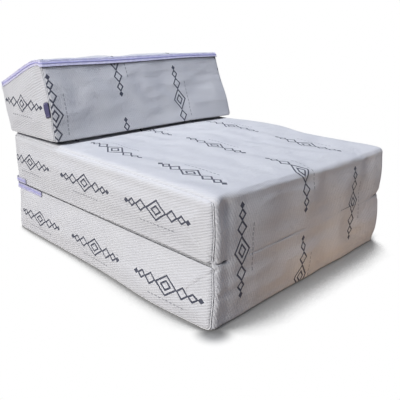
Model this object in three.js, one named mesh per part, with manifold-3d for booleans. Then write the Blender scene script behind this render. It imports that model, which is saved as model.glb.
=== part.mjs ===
// A three-part folding mattress, folded up as a low chair. Two foam blocks lie one on the other as the
// seat, and a foam wedge on top of them is the backrest. Each part is a foam core in a knitted cover that
// closes with a zip round three of its sides.
// Frame: X across the width, the front at -Y and +Z up, with the origin on the floor under the seat.
import * as THREE from 'three';
import { mergeVertices } from 'three/addons/utils/BufferGeometryUtils.js';
import Module from 'manifold-3d';

const wasm = await Module();
wasm.setup();

// Driving dimensions in millimetres
const mattressWidth = 700;
const blockDepth = 860;
const foamThickness = 150;
const wedgeDepth = 280;
const wedgeRecline = THREE.MathUtils.degToRad(17);

// Fits that every piece shares
const touchGap = 0.3;
const cutOverrun = 20;

// The knitted cover
const clothThickness = 2.4;
const sideEdgeRadius = 8;
const sideSwell = 6;
const endSwell = 4;
const leastRadius = 1;

// The seat's edges and the soft rise of its top
const floorEdgeRadius = 14;
const frontFoldRadius = 4;
const backFoldRadius = 4;
const seatFrontRadius = 26;
const seatBackRadius = 14;
const seatPress = 8;
const seatCrown = 5;
const pressedMargin = 30;

// The wedge's edges
const wedgeBaseRadius = 10;
const wedgeTopRadius = 14;
const wedgeZipRadius = 4;
const wedgeSwell = 6;
const wedgeSetBack = 8; // how far its base stands out behind the seat

// Zips: a tape in a slot of the cover, a coil on the tape and a slider that clasps the coil
const zipBandWidth = 12;
const tapeThickness = 1.2;
const tapeRecess = 0.8;
const coilFootWidth = 3;
const coilWidth = 5.4;
const coilFootHeight = 1.5;
const coilHeight = 2;
const lowerZipLeg = 150;
const upperZipLeg = 60;
const wedgeZipMargin = 24;

// Zip slider and its pull
const sliderLength = 12;
const sliderWidth = 9.6;
const sliderTailWidth = 7.6;
const sliderShell = 1.2;
const sliderLipReach = 1.2;
const sliderLipHeight = 0.8;
const sliderParkMargin = 2;
const bailThickness = 2;
const bailLength = 8.4;
const bailHeight = 3.8;
const bailWire = 1.2;
const pullLength = 26;
const pullWidth = 7;
const pullTipWidth = 9;
const pullThickness = 1.4;
const pullEyeLength = 6;
const pullEdge = 1.5;
const pullLift = 0.5;

// The cloth strip that joins the backrest to the seat at the back
const stripThickness = 2;
const stripReach = 34;
const stripTab = 22;
const stripEndMargin = 12;

// The bare tag in the backrest's left front seam
const tagWidth = 34;
const tagLength = 50;
const tagThickness = 0.8;
const tagHeightShare = 0.27;

// How finely the soft forms are cut up, as shares of a stretch and counts round an edge
const longEdgeShares = [0.08, 0.3, 0.7, 0.92];
const shortEdgeShares = [0.25, 0.75];
const widthShares = [-1, -0.88, -0.5, 0, 0.5, 0.88, 1];
const capShares = [0.8, 0.4];
const edgeSteps = 3;
const sideEdgeSteps = 2;
const swellPower = 4;
const widthPower = 6;

const coverCloth = new THREE.MeshStandardMaterial({ color: 0xe6e8ef, roughness: 0.95, metalness: 0 });
const foam = new THREE.MeshStandardMaterial({ color: 0xe9dfb4, roughness: 1, metalness: 0 });
const zipCloth = new THREE.MeshStandardMaterial({ color: 0xb9bde6, roughness: 0.9, metalness: 0 });
const coilPlastic = new THREE.MeshStandardMaterial({ color: 0x8f94c4, roughness: 0.6, metalness: 0 });
const sliderPaint = new THREE.MeshStandardMaterial({ color: 0x8b90c0, roughness: 0.45, metalness: 0.2 });
const tagCloth = new THREE.MeshStandardMaterial({ color: 0x3a3558, roughness: 0.8, metalness: 0 });

// Turn plain lists of points and triangles into a solid
function solidFromLists(points, triangles) {
  const vertProperties = new Float32Array(points.flat());
  const triVerts = new Uint32Array(triangles.flat());
  return new wasm.Manifold(new wasm.Mesh({ numProp: 3, vertProperties, triVerts }));
}

function solidFromGeometry(geometry) {
  geometry.deleteAttribute('normal');
  geometry.deleteAttribute('uv');
  const merged = mergeVertices(geometry);
  const vertProperties = new Float32Array(merged.attributes.position.array);
  const triVerts = new Uint32Array(merged.index.array);
  return new wasm.Manifold(new wasm.Mesh({ numProp: 3, vertProperties, triVerts }));
}

function geometryFromSolid(solid) {
  const { vertProperties, triVerts } = solid.getMesh();
  const geometry = new THREE.BufferGeometry();
  geometry.setAttribute('position', new THREE.BufferAttribute(new Float32Array(vertProperties), 3));
  geometry.setIndex([...triVerts]);
  const flat = geometry.toNonIndexed();
  flat.computeVertexNormals();
  return flat;
}

function namedMesh(name, solid, material) {
  const mesh = new THREE.Mesh(geometryFromSolid(solid), material);
  mesh.name = name;
  return mesh;
}

function boxBetween(low, high) {
  const size = new THREE.Vector3().subVectors(high, low);
  const middle = new THREE.Vector3().addVectors(low, high).multiplyScalar(0.5);
  const box = new THREE.BoxGeometry(size.x, size.y, size.z);
  return solidFromGeometry(box.translate(middle.x, middle.y, middle.z));
}

// A part's side view is a list of corners, anticlockwise with Y to the right and Z up. Each corner has a
// radius, and the swell and the dividing shares of the edge that follows it. The view is drawn inwards by
// an inset, its corners become arcs, and its edges swell outwards by their own height times the fullness.
function sideOutline(corners, inset, fullness) {
  const count = corners.length;
  const directions = corners.map((corner, i) => {
    const next = corners[(i + 1) % count];
    return new THREE.Vector2(next.y - corner.y, next.z - corner.z).normalize();
  });
  const arcs = corners.map((corner, i) => {
    const before = directions[(i + count - 1) % count];
    const after = directions[i];
    const turn = Math.atan2(before.cross(after), before.dot(after));
    const shift = inset * Math.tan(turn / 2);
    const inwardY = -after.y * inset + after.x * shift;
    const inwardZ = after.x * inset + after.y * shift;
    const radius = corner.radius > 0 ? Math.max(corner.radius - inset, leastRadius) : 0;
    const cut = radius * Math.tan(turn / 2);
    const point = new THREE.Vector2(corner.y + inwardY, corner.z + inwardZ);
    const start = point.clone().addScaledVector(before, -cut);
    const end = point.clone().addScaledVector(after, cut);
    const centre = new THREE.Vector2(start.x - before.y * radius, start.y + before.x * radius);
    return { start, end, centre, radius, turn };
  });
  const outline = [];
  corners.forEach((corner, i) => {
    const arc = arcs[i];
    const spoke = arc.start.clone().sub(arc.centre);
    const steps = arc.radius > 0 ? edgeSteps : 0;
    for (let step = 0; step <= steps; step += 1) {
      const angle = steps > 0 ? (arc.turn * step) / steps : 0;
      outline.push(arc.centre.clone().add(spoke.clone().rotateAround(new THREE.Vector2(), angle)));
    }
    const goal = arcs[(i + 1) % count].start;
    const outward = new THREE.Vector2(directions[i].y, -directions[i].x);
    corner.shares.forEach((share) => {
      const rise = 1 - Math.abs(2 * share - 1) ** swellPower;
      const point = arc.end.clone().lerp(goal, share);
      outline.push(point.addScaledVector(outward, corner.swell * rise * fullness));
    });
  });
  return outline;
}

// The soft form: side views strung along the width, drawn in at the rounded side edges and swelling at
// the two sides
function softForm(part, inset) {
  const edge = sideEdgeRadius - inset;
  const straight = mattressWidth / 2 - sideEdgeRadius;
  const rings = widthShares.map((share) => ({
    x: share * straight,
    outline: sideOutline(part.corners, inset, 1 - Math.abs(share) ** widthPower),
  }));
  const ends = [];
  for (let step = 1; step <= sideEdgeSteps; step += 1) {
    const angle = ((Math.PI / 2) * step) / sideEdgeSteps;
    const drawnIn = inset + edge * (1 - Math.cos(angle));
    ends.push({ x: straight + edge * Math.sin(angle), outline: sideOutline(part.corners, drawnIn, 0) });
  }
  const rim = ends[ends.length - 1];
  const middle = new THREE.Vector2();
  rim.outline.forEach((point) => middle.addScaledVector(point, 1 / rim.outline.length));
  capShares.forEach((share) => {
    const outline = rim.outline.map((point) => middle.clone().lerp(point, share));
    ends.push({ x: rim.x + sideSwell * (1 - share ** 2), outline });
  });
  ends.forEach((ring) => {
    rings.push(ring);
    rings.unshift({ x: -ring.x, outline: ring.outline });
  });
  const points = rings.flatMap((ring) => ring.outline.map((point) => [ring.x, point.x, point.y]));
  const count = rim.outline.length;
  const peak = rim.x + sideSwell;
  const firstPole = points.push([-peak, middle.x, middle.y]) - 1;
  const lastPole = points.push([peak, middle.x, middle.y]) - 1;
  const triangles = [];
  for (let i = 0; i < count; i += 1) {
    const j = (i + 1) % count;
    for (let ring = 0; ring < rings.length - 1; ring += 1) {
      const here = ring * count;
      const there = here + count;
      triangles.push([here + i, here + j, there + j], [here + i, there + j, there + i]);
    }
    const last = (rings.length - 1) * count;
    triangles.push([firstPole, j, i], [lastPole, last + i, last + j]);
  }
  return solidFromLists(points, triangles);
}

// A band that runs round the back of a part and along its two sides, between an inner and an outer
// distance from the cover's face
function zipBand(part, inner, outer, low, high) {
  const half = mattressWidth / 2;
  const radius = sideEdgeRadius;
  const shape = new THREE.Shape();
  shape.moveTo(half + outer, part.legEnd);
  shape.lineTo(half + outer, part.back - radius);
  shape.absarc(half - radius, part.back - radius, radius + outer, 0, Math.PI / 2, false);
  shape.lineTo(radius - half, part.back + outer);
  shape.absarc(radius - half, part.back - radius, radius + outer, Math.PI / 2, Math.PI, false);
  shape.lineTo(-half - outer, part.legEnd);
  shape.lineTo(-half - inner, part.legEnd);
  shape.lineTo(-half - inner, part.back - radius);
  shape.absarc(radius - half, part.back - radius, radius + inner, Math.PI, Math.PI / 2, true);
  shape.lineTo(half - radius, part.back + inner);
  shape.absarc(half - radius, part.back - radius, radius + inner, Math.PI / 2, 0, true);
  shape.lineTo(half + inner, part.legEnd);
  const band = new THREE.ExtrudeGeometry(shape, {
    depth: high - low, bevelEnabled: false, curveSegments: edgeSteps,
  });
  return solidFromGeometry(band.translate(0, 0, low));
}

// The pieces of one part's cover, cut from a shell round its core. The lid is the panel that the zip
// frees, with the strip above the zip; the wrap runs over the other three long faces.
function coverPieces(part) {
  const half = mattressWidth / 2 + sideSwell + cutOverrun;
  const reach = blockDepth;
  const halfGap = touchGap / 2;
  const seam = mattressWidth / 2 - sideEdgeRadius / 2;
  const slot = zipBand(
    { ...part, legEnd: part.legEnd - touchGap },
    -sideEdgeRadius + leastRadius, cutOverrun, part.zipLow - touchGap, part.zipHigh + touchGap,
  );
  const cover = softForm(part, 0).subtract(softForm(part, clothThickness)).subtract(slot);
  const between = boxBetween(
    new THREE.Vector3(-seam + halfGap, -reach, -reach), new THREE.Vector3(seam - halfGap, reach, reach),
  );
  const minusSide = boxBetween(
    new THREE.Vector3(-half, -reach, -reach), new THREE.Vector3(-seam - halfGap, reach, reach),
  );
  const plusSide = boxBetween(
    new THREE.Vector3(seam + halfGap, -reach, -reach), new THREE.Vector3(half, reach, reach),
  );
  const lidSeam = part.front + part.foldRadius;
  const lidLow = part.zipHigh;
  const lidBox = boxBetween(
    new THREE.Vector3(-half, lidSeam + halfGap, lidLow), new THREE.Vector3(half, reach, reach),
  );
  const lidSpace = boxBetween(
    new THREE.Vector3(-half, lidSeam - halfGap, lidLow - touchGap), new THREE.Vector3(half, reach, reach),
  );
  const middle = cover.intersect(between);
  return {
    wrap: middle.subtract(lidSpace),
    lid: middle.intersect(lidBox),
    minusSide: cover.intersect(minusSide),
    plusSide: cover.intersect(plusSide),
    core: softForm(part, clothThickness + touchGap).subtract(slot),
  };
}

// Heights over the cover's face, outwards
const tapeTop = -tapeRecess;
const coilBase = tapeTop + touchGap;
const coilNeck = coilBase + coilFootHeight;
const coilTop = coilNeck + coilHeight;

function zipPieces(part) {
  const middle = (part.zipLow + part.zipHigh) / 2;
  const footHalf = coilFootWidth / 2;
  const coilHalf = coilWidth / 2;
  const foot = zipBand(part, coilBase, coilTop, middle - footHalf, middle + footHalf);
  const bar = zipBand(part, coilNeck, coilTop, middle - coilHalf, middle + coilHalf);
  return {
    tape: zipBand(part, tapeTop - tapeThickness, tapeTop, part.zipLow, part.zipHigh),
    coil: foot.add(bar),
  };
}

// A flat outline with a given thickness, standing on the XY plane
function plate(shape, low, high) {
  const slab = new THREE.ExtrudeGeometry(shape, { depth: high - low, bevelEnabled: false });
  return solidFromGeometry(slab.translate(0, 0, low));
}

// The slider lies along X, with Z out of the cover: a shell that clasps the coil from above, narrower at
// its tail, under an arched bail
const sliderTop = coilTop + touchGap + sliderShell;
const bailAxis = sliderTop + pullLift + pullThickness / 2;

function sliderSolid() {
  const inner = coilWidth / 2 + touchGap;
  const outer = sliderWidth / 2;
  const lipTop = coilNeck - touchGap;
  const lipLow = lipTop - sliderLipHeight;
  const lipEdge = inner - sliderLipReach + touchGap;
  const ceiling = coilTop + touchGap;
  const section = new THREE.Shape();
  section.moveTo(-outer, lipLow);
  section.lineTo(-lipEdge, lipLow);
  section.lineTo(-lipEdge, lipTop);
  section.lineTo(-inner, lipTop);
  section.lineTo(-inner, ceiling);
  section.lineTo(inner, ceiling);
  section.lineTo(inner, lipTop);
  section.lineTo(lipEdge, lipTop);
  section.lineTo(lipEdge, lipLow);
  section.lineTo(outer, lipLow);
  section.lineTo(outer, sliderTop - sliderShell / 2);
  section.lineTo(outer - sliderShell / 2, sliderTop);
  section.lineTo(sliderShell / 2 - outer, sliderTop);
  section.lineTo(-outer, sliderTop - sliderShell / 2);
  const bar = new THREE.ExtrudeGeometry(section, { depth: sliderLength, bevelEnabled: false });
  bar.translate(0, 0, -sliderLength / 2).rotateX(Math.PI / 2).rotateZ(Math.PI / 2);

  const tail = sliderTailWidth / 2;
  const end = sliderLength / 2;
  const plan = new THREE.Shape();
  plan.moveTo(-end, -outer + sliderShell);
  plan.lineTo(sliderShell - end, -outer);
  plan.lineTo(0, -outer);
  plan.lineTo(end - sliderShell, -tail);
  plan.lineTo(end, sliderShell - tail);
  plan.lineTo(end, tail - sliderShell);
  plan.lineTo(end - sliderShell, tail);
  plan.lineTo(0, outer);
  plan.lineTo(sliderShell - end, outer);
  plan.lineTo(-end, outer - sliderShell);
  const shell = solidFromGeometry(bar).intersect(plate(plan, -cutOverrun, cutOverrun));

  const half = bailLength / 2;
  const foot = -sliderShell / 2;
  const opening = half - bailWire;
  const arch = new THREE.Shape();
  arch.moveTo(-half, foot);
  arch.lineTo(-opening, foot);
  arch.lineTo(-opening, bailHeight - 2 * bailWire);
  arch.lineTo(-opening + bailWire, bailHeight - bailWire);
  arch.lineTo(opening - bailWire, bailHeight - bailWire);
  arch.lineTo(opening, bailHeight - 2 * bailWire);
  arch.lineTo(opening, foot);
  arch.lineTo(half, foot);
  arch.lineTo(half, bailHeight - bailWire);
  arch.lineTo(half - bailWire, bailHeight);
  arch.lineTo(bailWire - half, bailHeight);
  arch.lineTo(-half, bailHeight - bailWire);
  const bail = new THREE.ExtrudeGeometry(arch, { depth: bailThickness, bevelEnabled: false });
  bail.translate(0, 0, -bailThickness / 2).rotateX(Math.PI / 2).translate(0, 0, sliderTop);
  return shell.add(solidFromGeometry(bail));
}

// The pull lies along X from the bar that it turns on, its eye round the slider's bail
function pullSolid() {
  const half = pullWidth / 2;
  const tip = pullTipWidth / 2;
  const barHalf = pullThickness / 2;
  const outline = new THREE.Shape();
  outline.moveTo(-barHalf, -half);
  outline.lineTo(pullEyeLength + pullEdge, -half);
  outline.lineTo(pullLength - tip, -tip);
  outline.absarc(pullLength - tip, 0, tip, -Math.PI / 2, Math.PI / 2, false);
  outline.lineTo(pullEyeLength + pullEdge, half);
  outline.lineTo(-barHalf, half);
  const eye = new THREE.Path();
  eye.moveTo(barHalf, pullEdge - half);
  eye.lineTo(pullEyeLength, pullEdge - half);
  eye.lineTo(pullEyeLength, half - pullEdge);
  eye.lineTo(barHalf, half - pullEdge);
  outline.holes.push(eye);
  const slab = new THREE.ExtrudeGeometry(outline, {
    depth: pullThickness, bevelEnabled: false, curveSegments: edgeSteps * 2,
  });
  return solidFromGeometry(slab.translate(0, 0, -pullThickness / 2));
}

// The slider and its pull on the zip's leg at one side, in a group whose X runs along the leg
function sliderGroup(name, part, side) {
  const group = new THREE.Group();
  const along = new THREE.Vector3(0, 1, 0);
  const out = new THREE.Vector3(side, 0, 0);
  const across = new THREE.Vector3().crossVectors(out, along);
  group.setRotationFromMatrix(new THREE.Matrix4().makeBasis(along, across, out));
  const parked = part.legEnd + sliderParkMargin + sliderLength / 2;
  group.position.set((side * mattressWidth) / 2, parked, (part.zipLow + part.zipHigh) / 2);
  group.add(namedMesh(`${name}_zip_slider`, sliderSolid(), sliderPaint));
  const pull = namedMesh(`${name}_zip_pull`, pullSolid(), sliderPaint);
  pull.position.z = bailAxis;
  group.add(pull);
  return group;
}

// One part in its own frame, with the zipped lid upwards and the zip's long run at +Y. rightSide is the
// side of that frame that faces +X once the part is in its place.
function mattressPart(name, lidName, part, rightSide) {
  const group = new THREE.Group();
  const cover = coverPieces(part);
  const zip = zipPieces(part);
  const right = rightSide > 0 ? cover.plusSide : cover.minusSide;
  const left = rightSide > 0 ? cover.minusSide : cover.plusSide;
  group.add(
    namedMesh(`${name}_foam_core`, cover.core, foam),
    namedMesh(`${name}_outer_cover`, cover.wrap, coverCloth),
    namedMesh(`${name}_${lidName}`, cover.lid, coverCloth),
    namedMesh(`${name}_left_side`, left, coverCloth),
    namedMesh(`${name}_right_side`, right, coverCloth),
    namedMesh(`${name}_zip_tape`, zip.tape, zipCloth),
    namedMesh(`${name}_zip_coil`, zip.coil, coilPlastic),
    sliderGroup(name, part, rightSide),
  );
  return group;
}

const front = -blockDepth / 2;
const back = blockDepth / 2;

const lowerPart = {
  corners: [
    { y: front, z: 0, radius: floorEdgeRadius, swell: 0, shares: [] },
    { y: back, z: 0, radius: floorEdgeRadius, swell: endSwell, shares: shortEdgeShares },
    { y: back, z: foamThickness, radius: backFoldRadius, swell: 0, shares: [] },
    { y: front, z: foamThickness, radius: frontFoldRadius, swell: endSwell, shares: shortEdgeShares },
  ],
  front,
  back,
  foldRadius: frontFoldRadius,
  zipHigh: foamThickness - backFoldRadius,
  zipLow: foamThickness - backFoldRadius - zipBandWidth,
  legEnd: back - lowerZipLeg,
};

// The upper block lies with its lid down, so its top is at the low side of its own frame. The backrest
// keeps the rear of the top level, and the front of it slopes a little and swells.
const pressedFront = back + wedgeSetBack - wedgeDepth - pressedMargin;
const upperPart = {
  corners: [
    { y: front, z: 0, radius: seatFrontRadius, swell: seatCrown, shares: longEdgeShares },
    { y: pressedFront, z: -seatPress, radius: 0, swell: 0, shares: [] },
    { y: back, z: -seatPress, radius: seatBackRadius, swell: endSwell, shares: shortEdgeShares },
    { y: back, z: foamThickness, radius: backFoldRadius, swell: 0, shares: [] },
    { y: front, z: foamThickness, radius: frontFoldRadius, swell: endSwell, shares: shortEdgeShares },
  ],
  front,
  back,
  foldRadius: frontFoldRadius,
  zipHigh: foamThickness - backFoldRadius,
  zipLow: foamThickness - backFoldRadius - zipBandWidth,
  legEnd: back - upperZipLeg,
};

// The wedge stands square to its own top, so its base is the sloping face of its own frame
const wedgeHalf = (wedgeDepth * Math.cos(wedgeRecline)) / 2;
const wedgeRise = wedgeDepth * Math.sin(wedgeRecline);
const wedgeHeight = foamThickness + wedgeRise;
const wedgePart = {
  corners: [
    { y: -wedgeHalf, z: wedgeRise, radius: wedgeBaseRadius, swell: 0, shares: [] },
    { y: wedgeHalf, z: 0, radius: wedgeBaseRadius, swell: wedgeSwell, shares: shortEdgeShares },
    { y: wedgeHalf, z: wedgeHeight, radius: wedgeZipRadius, swell: wedgeSwell, shares: shortEdgeShares },
    { y: -wedgeHalf, z: wedgeHeight, radius: wedgeTopRadius, swell: endSwell, shares: shortEdgeShares },
  ],
  front: -wedgeHalf,
  back: wedgeHalf,
  foldRadius: wedgeTopRadius,
  zipHigh: wedgeHeight - wedgeZipRadius,
  zipLow: wedgeHeight - wedgeZipRadius - zipBandWidth,
  legEnd: -wedgeHalf + wedgeZipMargin,
};

const foldHeight = foamThickness + touchGap / 2;
const seatHeight = foldHeight + touchGap / 2 + foamThickness + seatPress;
const wedgeBase = seatHeight + touchGap;

const lower = mattressPart('lower', 'sleeping_side', lowerPart, 1);

const upper = mattressPart('upper', 'sleeping_side', upperPart, -1);
upper.rotation.y = Math.PI;
upper.position.z = foldHeight + touchGap / 2 + foamThickness;

const backrest = mattressPart('backrest', 'lid_panel', wedgePart, -1);
backrest.rotation.set(-wedgeRecline, 0, Math.PI);
const wedgeBack = back + wedgeSetBack;
backrest.position.y = wedgeBack - wedgeDepth + wedgeHalf * Math.cos(wedgeRecline);
backrest.position.z = wedgeBase - wedgeHalf * Math.sin(wedgeRecline);

// The strip's two leaves meet behind the seat, where the backrest folds down. Each leaf has a tab that is
// sewn to the back face of its part.
const stripLength = mattressWidth - 2 * sideEdgeRadius - 2 * stripEndMargin;
const hingeY = back + stripReach;
const hingeZ = seatHeight + touchGap / 2;

function stripLeaf(name, outline) {
  const shape = new THREE.Shape(outline.map(([y, z]) => new THREE.Vector2(y, z)));
  const leaf = new THREE.ExtrudeGeometry(shape, { depth: stripLength, bevelEnabled: false });
  leaf.translate(0, 0, -stripLength / 2).rotateX(Math.PI / 2).rotateZ(Math.PI / 2);
  return namedMesh(name, solidFromGeometry(leaf), coverCloth);
}

// How far the back face of a part stands out, a given distance from where its rounded edge starts
function backSwellNearEdge(run, distance) {
  const lastShare = Math.max(...shortEdgeShares);
  const lastRise = endSwell * (1 - (2 * lastShare - 1) ** swellPower);
  return (lastRise * Math.max(distance, 0)) / (run * (1 - lastShare));
}

const seatBackRun = foamThickness + seatPress - seatBackRadius - backFoldRadius;
const seatTabY = back + backSwellNearEdge(seatBackRun, stripTab - seatBackRadius) + touchGap;
const leafEnd = hingeY - touchGap;
const seatLeafTop = hingeZ - touchGap / 2;
const seatLeaf = stripLeaf('seat_hinge_strip', [
  [seatTabY, seatLeafTop - stripTab],
  [seatTabY + stripThickness, seatLeafTop - stripTab],
  [seatTabY + stripThickness, seatLeafTop - stripThickness],
  [leafEnd, seatLeafTop - stripThickness],
  [leafEnd, seatLeafTop],
  [seatTabY, seatLeafTop],
]);

const lean = Math.tan(wedgeRecline);
const wedgeBaseCut = wedgeBaseRadius * Math.tan((Math.PI / 2 - wedgeRecline) / 2);
const wedgeBackRun = foamThickness - wedgeTopRadius - wedgeBaseCut;
const wedgeTabRise = stripTab / Math.cos(wedgeRecline) - wedgeBaseCut;
const wedgeStandOff = backSwellNearEdge(wedgeBackRun, wedgeTabRise) + touchGap;
const wedgeTabY = wedgeBack + wedgeStandOff / Math.cos(wedgeRecline);
const wedgeLeafLow = hingeZ + touchGap / 2;
const wedgeLeaf = stripLeaf('backrest_hinge_strip', [
  [wedgeTabY, wedgeLeafLow],
  [leafEnd, wedgeLeafLow],
  [leafEnd, wedgeLeafLow + stripThickness],
  [wedgeTabY + stripThickness + stripThickness * lean, wedgeLeafLow + stripThickness],
  [wedgeTabY + stripThickness + stripTab * lean, wedgeLeafLow + stripTab],
  [wedgeTabY + stripTab * lean, wedgeLeafLow + stripTab],
]);

// The tag lies on the backrest's left side, sewn into the seam at its front edge
const tag = new THREE.Mesh(new THREE.BoxGeometry(tagThickness, tagWidth, tagLength), tagCloth);
tag.name = 'label_tag';
tag.position.x = mattressWidth / 2 + sideSwell / 2 + tagThickness / 2 + touchGap;
tag.position.y = wedgeHalf - sideEdgeRadius / 2 - tagWidth / 2;
tag.position.z = wedgeHeight * tagHeightShare + tagLength / 2;
backrest.add(tag);

const mattress = new THREE.Group();
mattress.add(lower, upper, backrest, seatLeaf, wedgeLeaf);

export default mattress;
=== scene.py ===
"""A folding mattress made up as a low seat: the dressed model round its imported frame.

Two foam blocks in one knitted cover are folded on each other and carry a wedge backrest. Every panel of
the cover is a surface worked out from a side outline: strips run along the outline from seam to seam, and
side panels shrink it towards its middle. All lengths are in metres, in the frame's own axes: X across,
the front at -Y, Z up from the floor.
"""

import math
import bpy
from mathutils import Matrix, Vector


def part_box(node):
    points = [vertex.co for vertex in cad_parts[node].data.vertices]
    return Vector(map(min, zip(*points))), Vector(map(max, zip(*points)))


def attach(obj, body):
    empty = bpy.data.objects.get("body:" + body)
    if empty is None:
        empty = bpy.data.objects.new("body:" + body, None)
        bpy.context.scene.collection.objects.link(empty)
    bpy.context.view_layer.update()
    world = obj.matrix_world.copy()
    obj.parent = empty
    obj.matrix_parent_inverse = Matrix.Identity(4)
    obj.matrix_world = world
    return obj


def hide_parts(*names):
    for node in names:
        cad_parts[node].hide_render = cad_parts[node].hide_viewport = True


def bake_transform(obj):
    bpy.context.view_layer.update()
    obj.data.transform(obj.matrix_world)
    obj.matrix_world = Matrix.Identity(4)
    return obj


bl_info = {
    "name": "Folding mattress seat",
    "version": (1, 0, 0),
    "blender": (4, 5, 0),
    "location": "3D View > Sidebar > Mattress",
    "description": "Builds the cover panels, seams, zips, tag and studio stage of a folding mattress",
    "category": "Object",
}

import bmesh
import bpy
import numpy as np
from bpy.props import FloatProperty, FloatVectorProperty, PointerProperty
from bpy.types import Operator, Panel, PropertyGroup

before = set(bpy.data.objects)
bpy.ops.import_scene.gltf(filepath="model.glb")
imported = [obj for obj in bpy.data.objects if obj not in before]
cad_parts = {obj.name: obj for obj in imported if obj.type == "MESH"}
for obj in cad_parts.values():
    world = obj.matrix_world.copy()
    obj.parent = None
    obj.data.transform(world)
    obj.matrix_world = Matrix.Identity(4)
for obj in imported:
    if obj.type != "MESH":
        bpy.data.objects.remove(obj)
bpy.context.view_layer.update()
FULL_TURN = 2.0 * math.pi
# the blocks and the backrest in the side view
SEAM_HALF = 0.350
BLOCK_BACK = 0.430
LOWER_TOP = 0.1500
UPPER_FOOT = 0.1503
FOLD_HEIGHT = 0.15015
NOSE_TOP = 0.3003
WEDGE_FOOT = 0.3086
WEDGE_FRONT_TOP = np.array([0.2258, 0.5303])
RECLINE = math.radians(17.0)
LID_LENGTH = 0.268
SPINE_DEPTH = 0.070
INSIDE_SEAT = (0.0, 0.0, 0.15)
INSIDE_BACKREST = (0.0, 0.33, 0.40)
# grid columns across the seat cloth, the blocks' other strips and the backrest's
SEAT_COLUMNS = 128
BLOCK_COLUMNS = 90
BACKREST_COLUMNS = 110
# the cloth simulation: frames, slack of strips and of side panels, push from inside, how much of its hold a
# point in the open gives up, every how many rows and columns are simulated, longest move
SETTLING_FRAMES = 18
STRIP_SLACK = 0.0038
SIDE_SLACK = 0.0045
FOAM_PUSH = 0.5
LET_GO = 0.72
STRIDE = 3
LONGEST_MOVE = 0.003
# foam in the blocks and in the backrest, as shares of a full cushion
BLOCK_FILL = 0.85
BACKREST_FILL = 0.9

# Settings


def number(name, description, default, **limits):
    """A setting that holds a number."""
    return FloatProperty(name=name, description=description, default=default, **limits)


def length(name, description, default, lowest=-1.0):
    """A setting in metres."""
    return number(name, description, default, min=lowest, unit="LENGTH")


def colour(name, description, default):
    """A setting that holds a colour."""
    return FloatVectorProperty(name=name, description=description, default=default, subtype="COLOR", size=3)


class MattressShape(PropertyGroup):
    """Sizes of the cover's rounded edges, swells and wrinkles."""

    front_rounding: length(
        "Front edge rounding", "Radius of the soft vertical edges beside the front", 0.023, 0.002
    )
    seat_rounding: length("Seat edge rounding", "Radius of the long edges beside the seat", 0.024, 0.002)
    floor_rounding: length("Floor edge rounding", "Radius of the edges round the floor face", 0.0075, 0.002)
    fold_rounding: length(
        "Fold edge rounding", "Radius of the tight edges round the sleeping sides", 0.0052, 0.002
    )
    lid_rounding: length("Lid edge rounding", "Radius of the edges round the backrest's lid", 0.005, 0.002)
    seat_nose: length("Seat nose radius", "Radius of the seat's front top edge", 0.0155, 0.005)
    side_swell: length("Side swell", "How far the side panels bulge outwards", 0.005)
    seat_crown: length("Seat crown", "How far the seat rises between its edges", 0.004)
    seat_dip: length("Seat dip", "How far the seat's right front part has sunk", 0.0085)
    lid_bow: length("Lid bow", "How far the backrest's top edges arch upwards", 0.0105)
    lid_crown: length("Lid crown", "How far the backrest's lid rises between its edges", 0.004)
    backrest_skew: length("Backrest skew", "How far each end of the backrest is pushed along the seat", 0.012)
    ripple: length("Ripple", "Depth of the soft unevenness of the cloth", 0.0010)
    welt: length("Seam ridge", "Radius of the raised ridge along the seams", 0.0015, 0.0003)


class MattressFinish(PropertyGroup):
    """Colours and pattern sizes of the cover, the zips and the tag."""

    cloth: colour("Cover cloth", "Base colour of the knitted cover", (0.775, 0.775, 0.79))
    motif: colour("Motif thread", "Colour of the woven lozenges", (0.040, 0.046, 0.080))
    tape: colour("Zip tape", "Colour of the zip tapes", (0.760, 0.745, 1.000))
    coil: colour("Zip coil", "Colour of the zip coils", (0.440, 0.430, 0.740))
    slider: colour("Zip slider", "Colour of the painted sliders and pulls", (0.420, 0.380, 0.700))
    tag: colour("Tag cloth", "Colour of the bare tag", (0.080, 0.074, 0.170))
    rib_pitch: length("Rib pitch", "Distance between the knit's diagonal ribs", 0.0060, 0.0005)
    motif_pitch: length("Motif pitch", "Distance between motif columns", 0.230, 0.05)
    motif_repeat: length("Motif repeat", "Distance between motifs in a column", 0.290, 0.05)


class MattressStage(PropertyGroup):
    """The camera, the lights and the light that the floor throws back."""

    lens: number("Lens", "Focal length in millimetres", 47.4, min=10.0)
    azimuth: number(
        "Camera azimuth", "The camera's turn about the upright axis", math.radians(-44.63), subtype="ANGLE"
    )
    elevation: number(
        "Camera elevation", "How far the camera looks down", math.radians(17.48), subtype="ANGLE"
    )
    place: FloatVectorProperty(
        name="Camera place",
        description="Where the camera stands",
        subtype="XYZ",
        size=3,
        default=(-1.0582, -1.1099, 0.6384),
    )
    key: number("Key strength", "Strength of the key light", 2.44, min=0.0)
    sky: number("Sky strength", "Strength of the even light from all round", 1.0, min=0.0)
    warm: colour(
        "Warm bounce", "Colour that the floor throws back low on the right of the front", (1.0, 0.68, 0.40)
    )
    ground: colour("Ground bounce", "Colour that the floor throws back on the object", (0.305, 0.274, 0.264))


# Formulas


def smooth(t):
    """0 below 0, 1 above 1, three t squared less two t cubed between."""
    t = np.clip(t, 0.0, 1.0)
    return t * t * (3.0 - 2.0 * t)


def hump(distance, width):
    """A bell: e to the power of minus the squared share of distance in width."""
    return np.exp(-((distance / width) ** 2))


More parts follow.
